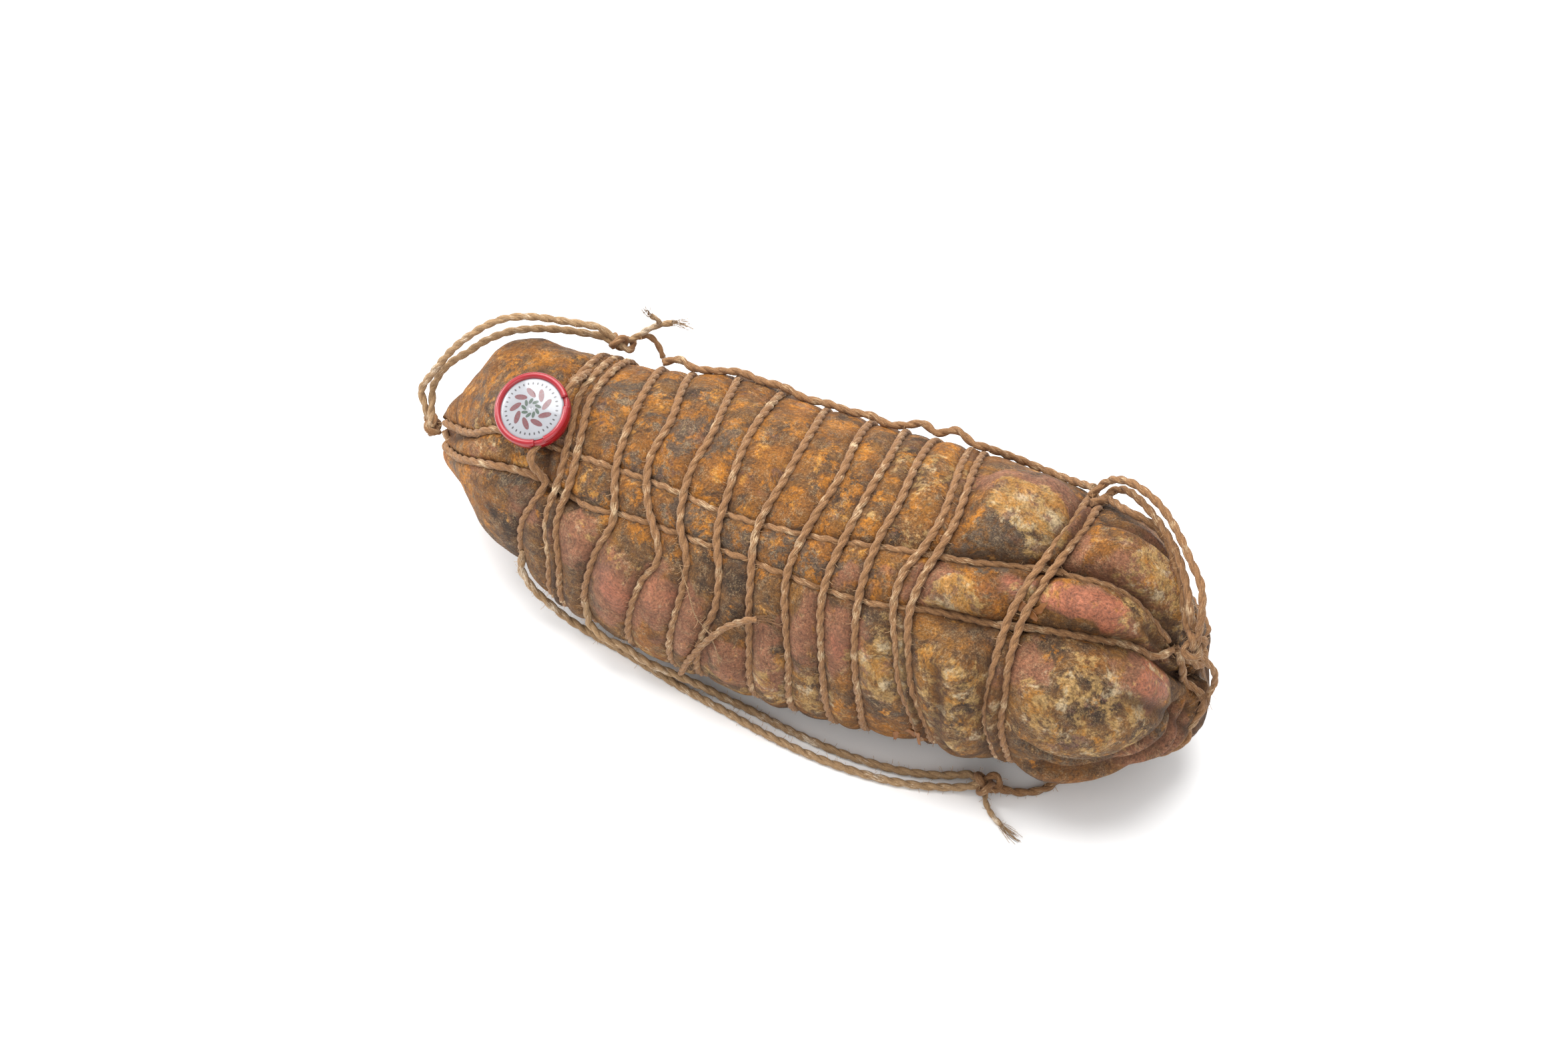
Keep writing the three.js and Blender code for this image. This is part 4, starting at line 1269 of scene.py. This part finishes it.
# what the casing shows where: mark, angle, half length, half angle, strength
zones = {
    "flesh": [
        [-74, 74, 13, 15, 0.9], [-58, 88, 13, 22, 1.0], [-41, 86, 10, 17, 1.0],
        [-28, 92, 9, 20, 1.0], [-14, 104, 8, 16, 1.0], [1, 96, 9, 20, 1.0],
        [13, 74, 8, 18, 0.8], [26, 72, 9, 18, 1.0], [-100, 78, 10, 18, 0.5],
        [101, 28, 18, 9, 1.0], [77, 29, 9, 6, 0.8], [128, 52, 15, 17, 1.0],
        [70, -13, 22, 14, 1.0], [86, 4, 5, 16, 0.8], [104, 8, 16, 9, 0.8], [86, 60, 9, 12, 0.8],
        [-118, 62, 12, 12, 0.5],
        [52, 36, 10, 8, 0.7], [38, 44, 12, 9, 0.5], [134, 120, 20, 30, 0.6],
        [26, 48, 14, 8, 0.5], [120, -10, 26, 30, 0.5],
    ],
    "bare": [
        [101, 28, 17, 8, 0.9], [130, 52, 12, 13, 0.7], [-58, 84, 9, 12, 0.55],
        [28, 70, 8, 12, 0.5], [77, 29, 8, 5, 0.6], [-41, 84, 6, 10, 0.35],
    ],
    "bloom": [
        [71, 1, 15, 14, 0.9], [110, 76, 26, 34, 0.6], [66, 88, 18, 34, 0.6],
        [40, 76, 10, 22, 0.8], [60, 40, 9, 6, 1.0], [10, 108, 22, 22, 0.7],
        [120, 0, 24, 24, 0.65], [-124, 52, 14, 26, 0.45], [-60, 70, 20, 8, 0.4],
        [86, 30, 12, 9, 0.5], [36, 20, 20, 10, 0.35],
        [-30, 122, 40, 16, 0.5], [36, -10, 20, 16, 0.5], [130, 30, 30, 40, 0.5],
    ],
    "grey": [
        [-104, 66, 14, 14, 0.35], [-128, 28, 12, 20, 0.4], [-46, 10, 18, 12, 0.6],
        [-60, 30, 14, 9, 0.45], [-30, 44, 24, 8, 0.45], [8, 44, 24, 8, 0.5], [-96, 40, 14, 12, 0.35],
        [-84, 0, 14, 18, 0.5], [44, 76, 7, 12, 0.8], [62, 22, 14, 8, 0.5], [60, 100, 16, 14, 0.5],
        [70, 6, 14, 12, 0.7], [116, 100, 30, 12, 0.5],
    ],
    "ochre": [
        [44, 116, 34, 18, 1.0], [54, 100, 6, 30, 0.9], [0, 124, 34, 12, 0.7], [92, -6, 8, 14, 0.9],
        [56, 14, 8, 14, 0.9],
    ],
}


def zoneShare(name, mark, angle):
    share = np.zeros_like(mark)
    for *oval, strength in zones[name]:
        wayOut = np.sqrt(wayOutSquared(mark, angle, *oval))
        share = np.maximum(share, strength * (1 - fadeIn(wayOut, 0.55, 1.25)))
    return share


# random patterns of the casing: size in mm, detail, roughness, and the shift that sets each apart
patterns = {
    "cloud": (24, 6.0, 0.62, 0.0), "stain": (11, 7.0, 0.66, 0.31), "patch": (6.5, 6.0, 0.68, 0.73),
    "spot": (3.6, 5.0, 0.7, 1.17), "grit": (0.9, 3.0, 0.7, 1.9), "dust": (0.42, 2.0, 0.6, 2.3),
    "yellow": (9, 7.0, 0.74, 3.1), "smudge": (7, 7.0, 0.72, 6.1), "mould": (5, 7.0, 0.72, 4.7),
    "meat": (9, 4.0, 0.55, 5.3),
}
stains = [(0.36, "#3A2A1B"), (0.45, "#573E27"), (0.53, "#6F4E2B"), (0.62, "#845A25")]
# colour, pattern, the zone that lifts it, how strongly, where it starts and is full, its most
layers = [
    ("#915B1C", "cloud", "ochre", 0.14, 0.58, 0.72, 0.70),
    ("#AC6E1B", "yellow", "ochre", 0.12, 0.62, 0.70, 0.85),
    ("#B07F37", "patch", "ochre", 0.07, 0.65, 0.72, 0.75),
    ("#564A40", "mould", "grey", 0.22, 0.56, 0.66, 0.85),
    ("#4A423B", "spot", "grey", 0.16, 0.62, 0.70, 0.75),
    ("#5E4642", "smudge", "ochre", 0.05, 0.62, 0.70, 0.55),
    ("#8A5D46", "meat", "flesh", 0.50, 0.62, 0.86, 0.92),
    ("#A8674D", "cloud", "bare", 0.46, 0.62, 0.92, 0.84),
    ("#B3925C", "mould", "bloom", 0.26, 0.63, 0.74, 0.85),
    ("#B5A88E", "patch", "bloom", 0.22, 0.67, 0.78, 0.70),
    ("#AC7830", "yellow", "bloom", 0.16, 0.62, 0.72, 0.75),
    ("#6A4A40", "smudge", "bloom", 0.16, 0.66, 0.74, 0.70),
]


def casingMaterial():
    # cured casing with dried mould: matt, mottled ochre, dusty, with painted shade in the creases;
    # greasy and smoother over bare flesh
    material, tree, place = emptyMaterial("mould-cured casing")
    wander = noiseNode(tree, place, 14, 1.0, output="Color")
    centred = vectorNode(tree, "SUBTRACT", wander, (0.5, 0.5, 0.5))
    warped = vectorNode(tree, "ADD", place, scaleNode(tree, centred, 6 * mm))
    noises = {}
    for name, (size, detail, rough, shift) in patterns.items():
        moved = vectorNode(tree, "ADD", warped, (shift, shift, shift))
        noises[name] = noiseNode(tree, moved, size, detail, rough)
    share = {name: attributeNode(tree, name) for name in [*zones, "crease"]}

    base = addNode(tree, "ShaderNodeValToRGB", {"Fac": noises["stain"]})
    ramp = base.color_ramp
    for at, hexColour in stains:
        stop = ramp.elements.new(at)
        stop.color = linearColour(hexColour)
    ramp.elements.remove(ramp.elements[0])
    ramp.elements.remove(ramp.elements[-1])
    colour = base.outputs["Color"]
    for hexColour, pattern, zone, lift, low, high, most in layers:
        raised = mathNode(tree, "MULTIPLY_ADD", share[zone], lift, noises[pattern])
        mask = rangeNode(tree, raised, low, high, 0.0, most, interpolation_type="SMOOTHSTEP")
        colour = mixNode(tree, mask, colour, hexColour)
    # pale dust of dried mould, less on bare flesh
    dusty = mathNode(tree, "ADD", noises["dust"], noises["spot"])
    lessBare = mathNode(tree, "MULTIPLY_ADD", share["bare"], -0.25, dusty)
    colour = mixNode(tree, rangeNode(tree, lessBare, 1.02, 1.24, 0.0, 0.45), colour, "#B39A78")
    # specks and blotches, then the brown of curing over all, then painted shade that darkens the
    # creases
    colour = scaleNode(tree, colour, rangeNode(tree, noises["grit"], 0.3, 0.7, 0.4, 1.4))
    colour = scaleNode(tree, colour, rangeNode(tree, noises["patch"], 0.38, 0.62, 0.76, 1.14))
    cured = vectorNode(tree, "MULTIPLY", colour, (0.86, 0.81, 0.73))
    # painted shade in the creases, near black brown where it is strongest
    creased = mathNode(tree, "MULTIPLY", share["crease"], 0.8)
    fine = mathNode(tree, "ADD", noises["grit"], noises["spot"])
    return finishMaterial(material, {
        "Base Color": mixNode(tree, creased, cured, "#38200F"),
        "Roughness": rangeNode(tree, share["bare"], 0.0, 1.0, 0.74, 0.32),
        "Normal": bumpNode(tree, fine, 0.8, 0.001), "Specular IOR Level": 0.3,
    })


def gridOfMeat():
    even = np.linspace(0, 360, meat["columns"], endpoint=False)
    angles = even - 55 - 18 * np.sin(np.radians(even - 105))  # closer together in front
    along = np.linspace(0, 1, meat["rows"] + 2)[1:-1]
    marks = narrowTip + (bluntTip - narrowTip) * along
    return np.meshgrid(marks, angles, indexing="ij")


# how much of each zone's look, and of the painted shade in the creases, each place on the casing has
def paintShares(points, mark, angle):
    wander = 5 * lumps(points, 9, 31) + 2.5 * lumps(points, 3.5, 32)
    drift = 6 * lumps(points, 10, 33) + 3 * lumps(points, 4, 34)
    shares = {name: zoneShare(name, mark + wander, angle + drift) for name in zones}
    drifted = anglePast(angle, 0) + drift
    above = fadeIn(drifted, -120, -60) * (1 - fadeIn(drifted, 48, 66))
    above = np.maximum(above, 0.9 * (1 - fadeIn(mark, -122, -104)))
    usual = 0.35 + 0.65 * above * (1 - 0.6 * fadeIn(mark, 40, 70))
    shares["ochre"] = np.maximum(shares["ochre"], usual)
    # painted shade: darker along each turn, each strand and each fold
    creases = [0.9 * bell(toTurn(mark, angle), 2.3)]
    strandWidth = 1.3 + 1.2 * fadeIn(mark, 40, 70)
    creases += [0.85 * bell(arcToStrand(name, mark, angle), strandWidth) for name in strandNames]
    creases += [0.9 * bell(toFold(fold, mark, angle), fold["width"]) for fold in folds]
    shares["crease"] = np.max(creases, axis=0)
    return shares


def makeMeat():
    marks, angles = gridOfMeat()
    rows, columns = marks.shape
    mark, angle = marks.ravel(), angles.ravel()
    points = meatPoint(mark, angle)
    tips = meatPoint(np.array([narrowTip, bluntTip]), np.array([0.0, 0.0]))
    index = np.arange(rows * columns).reshape(rows, columns)
    nextColumn = np.roll(index, -1, 1)
    quads = np.stack([index[:-1], nextColumn[:-1], nextColumn[1:], index[1:]], -1).reshape(-1, 4)
    first, last = rows * columns, rows * columns + 1
    faces = [tuple(q) for q in quads[:, ::-1]]
    faces += [(first, index[0, c], nextColumn[0, c])[::-1] for c in range(columns)]
    faces += [(last, nextColumn[-1, c], index[-1, c])[::-1] for c in range(columns)]
    vertices = np.vstack([points, tips]) * mm
    piece = newObject("coppa_casing", vertices, faces, casingMaterial())
    for name, values in paintShares(points, mark, angle).items():
        data = piece.data.attributes.new(name, "FLOAT", "POINT")
        data.data.foreach_set("value", np.r_[values, 0, 0].astype(np.float32))
    settle(piece, "cured_meat", "coppa_meat")
    print("meat", len(piece.data.polygons), "faces")


makeMeat()

# torn scraps of casing: mark, angle, length and width in mm, heading in degrees, lift of the tip
shreds = [
    (79, 36, 8, 3.4, 25, 1.6), (84, 38, 6, 2.6, -40, 2.2), (54, 106, 8, 3.0, 80, 2.4),
    (50, 114, 5, 2.2, 60, 1.8), (46, 118, 4, 2.0, 100, 1.5),
]


def scrapMaterial():  # dry torn gut: thin, orange where the light comes through
    material, tree, place = emptyMaterial("torn dry casing")
    stain = noiseNode(tree, place, 2, 4.0)
    return finishMaterial(material, {
        "Base Color": mixNode(tree, stain, "#5E3618", "#93602F"), "Roughness": 0.55,
        "Normal": bumpNode(tree, stain, 0.4, 0.0003),
    })


def tearShreds():
    steps, across, thick = 12, 6, 0.3  # points along and across a scrap, and mm of gut
    points, faces = [], []
    for k, (at, around, length, width, heading, lift) in enumerate(shreds):
        u, v = np.meshgrid(np.linspace(0, 1, steps), np.linspace(-1, 1, across), indexing="ij")
        ragged = 0.3 * lumps(np.stack([u.ravel() * 5, v.ravel()], -1), 1.0, 40 + k).reshape(u.shape)
        half = width / 2 * (1 - 0.7 * u ** 2) * (1 + ragged)
        way = math.radians(heading)
        x = u * length * math.cos(way) - v * half * math.sin(way)
        y = u * length * math.sin(way) + v * half * math.cos(way)
        mark = (at + x).ravel()
        angle = around + np.degrees(y.ravel() / smoothRun(stations, mark))
        raised = (lift * u ** 2 + 0.4 * v ** 2).ravel() + 0.1
        level = meatLevel(mark, angle) + raised
        first = len(points)
        points += list(pointOver(mark, angle, level)) + list(pointOver(mark, angle, level - thick))
        under = steps * across
        cell = np.arange(under).reshape(steps, across) + first
        for i in range(steps - 1):
            for j in range(across - 1):
                a, b, c, d = cell[i, j], cell[i, j + 1], cell[i + 1, j + 1], cell[i + 1, j]
                faces += [(a, b, c, d), (a + under, d + under, c + under, b + under)]
        edge = list(cell[0, :-1]) + list(cell[:-1, -1]) + list(cell[-1, :0:-1]) + list(cell[:0:-1, 0])
        for a, b in zip(edge, edge[1:] + edge[:1]):
            faces.append((b, a, a + under, b + under))
    settle(newObject("casing_shreds", np.array(points) * mm, faces, scrapMaterial()), "cured_meat")


tearShreds()


def makeTable():  # seamless paper: matt and white, with hardly any tooth
    material, tree, place = emptyMaterial("white seamless paper")
    tooth = addNode(tree, "ShaderNodeTexNoise", {"Vector": place, "Scale": 60.0}).outputs["Fac"]
    colour = mixNode(tree, tooth, (0.9, 0.9, 0.9, 1), (0.94, 0.94, 0.94, 1))
    finishMaterial(material, {"Base Color": colour, "Roughness": 0.9})
    corners = [(-3, -3, 0), (3, -3, 0), (3, 3, 0), (-3, 3, 0)]
    newObject("table", corners, [(0, 1, 2, 3)], material)


makeTable()

lights = {  # place and size in metres, power in watts
    "overhead softbox": {"at": (-0.15, 0.25, 1.2), "size": 1.3, "power": 23.0},
    "front fill": {"at": (0.6, -1.1, 0.7), "size": 0.8, "power": 4.0},
    "left softbox": {"at": (-1.0, -0.2, 0.8), "size": 0.5, "power": 8.0},
}
lightsAim = (0, 0, 0.04)
worldStrength = 0.9


def makeLights():
    for name, light in lights.items():
        data = bpy.data.lights.new(name, "AREA")
        data.shape, data.size, data.energy = "DISK", light["size"], light["power"]
        made = linkedObject(name, data)
        made.location = light["at"]
        aim = Vector(lightsAim) - made.location
        made.rotation_euler = aim.to_track_quat("-Z", "Y").to_euler()
    world = bpy.data.worlds.new("studio")
    world.use_nodes = True
    background = world.node_tree.nodes["Background"]
    background.inputs["Color"].default_value = (1, 1, 1, 1)
    background.inputs["Strength"].default_value = worldStrength
    bpy.context.scene.world = world


makeLights()
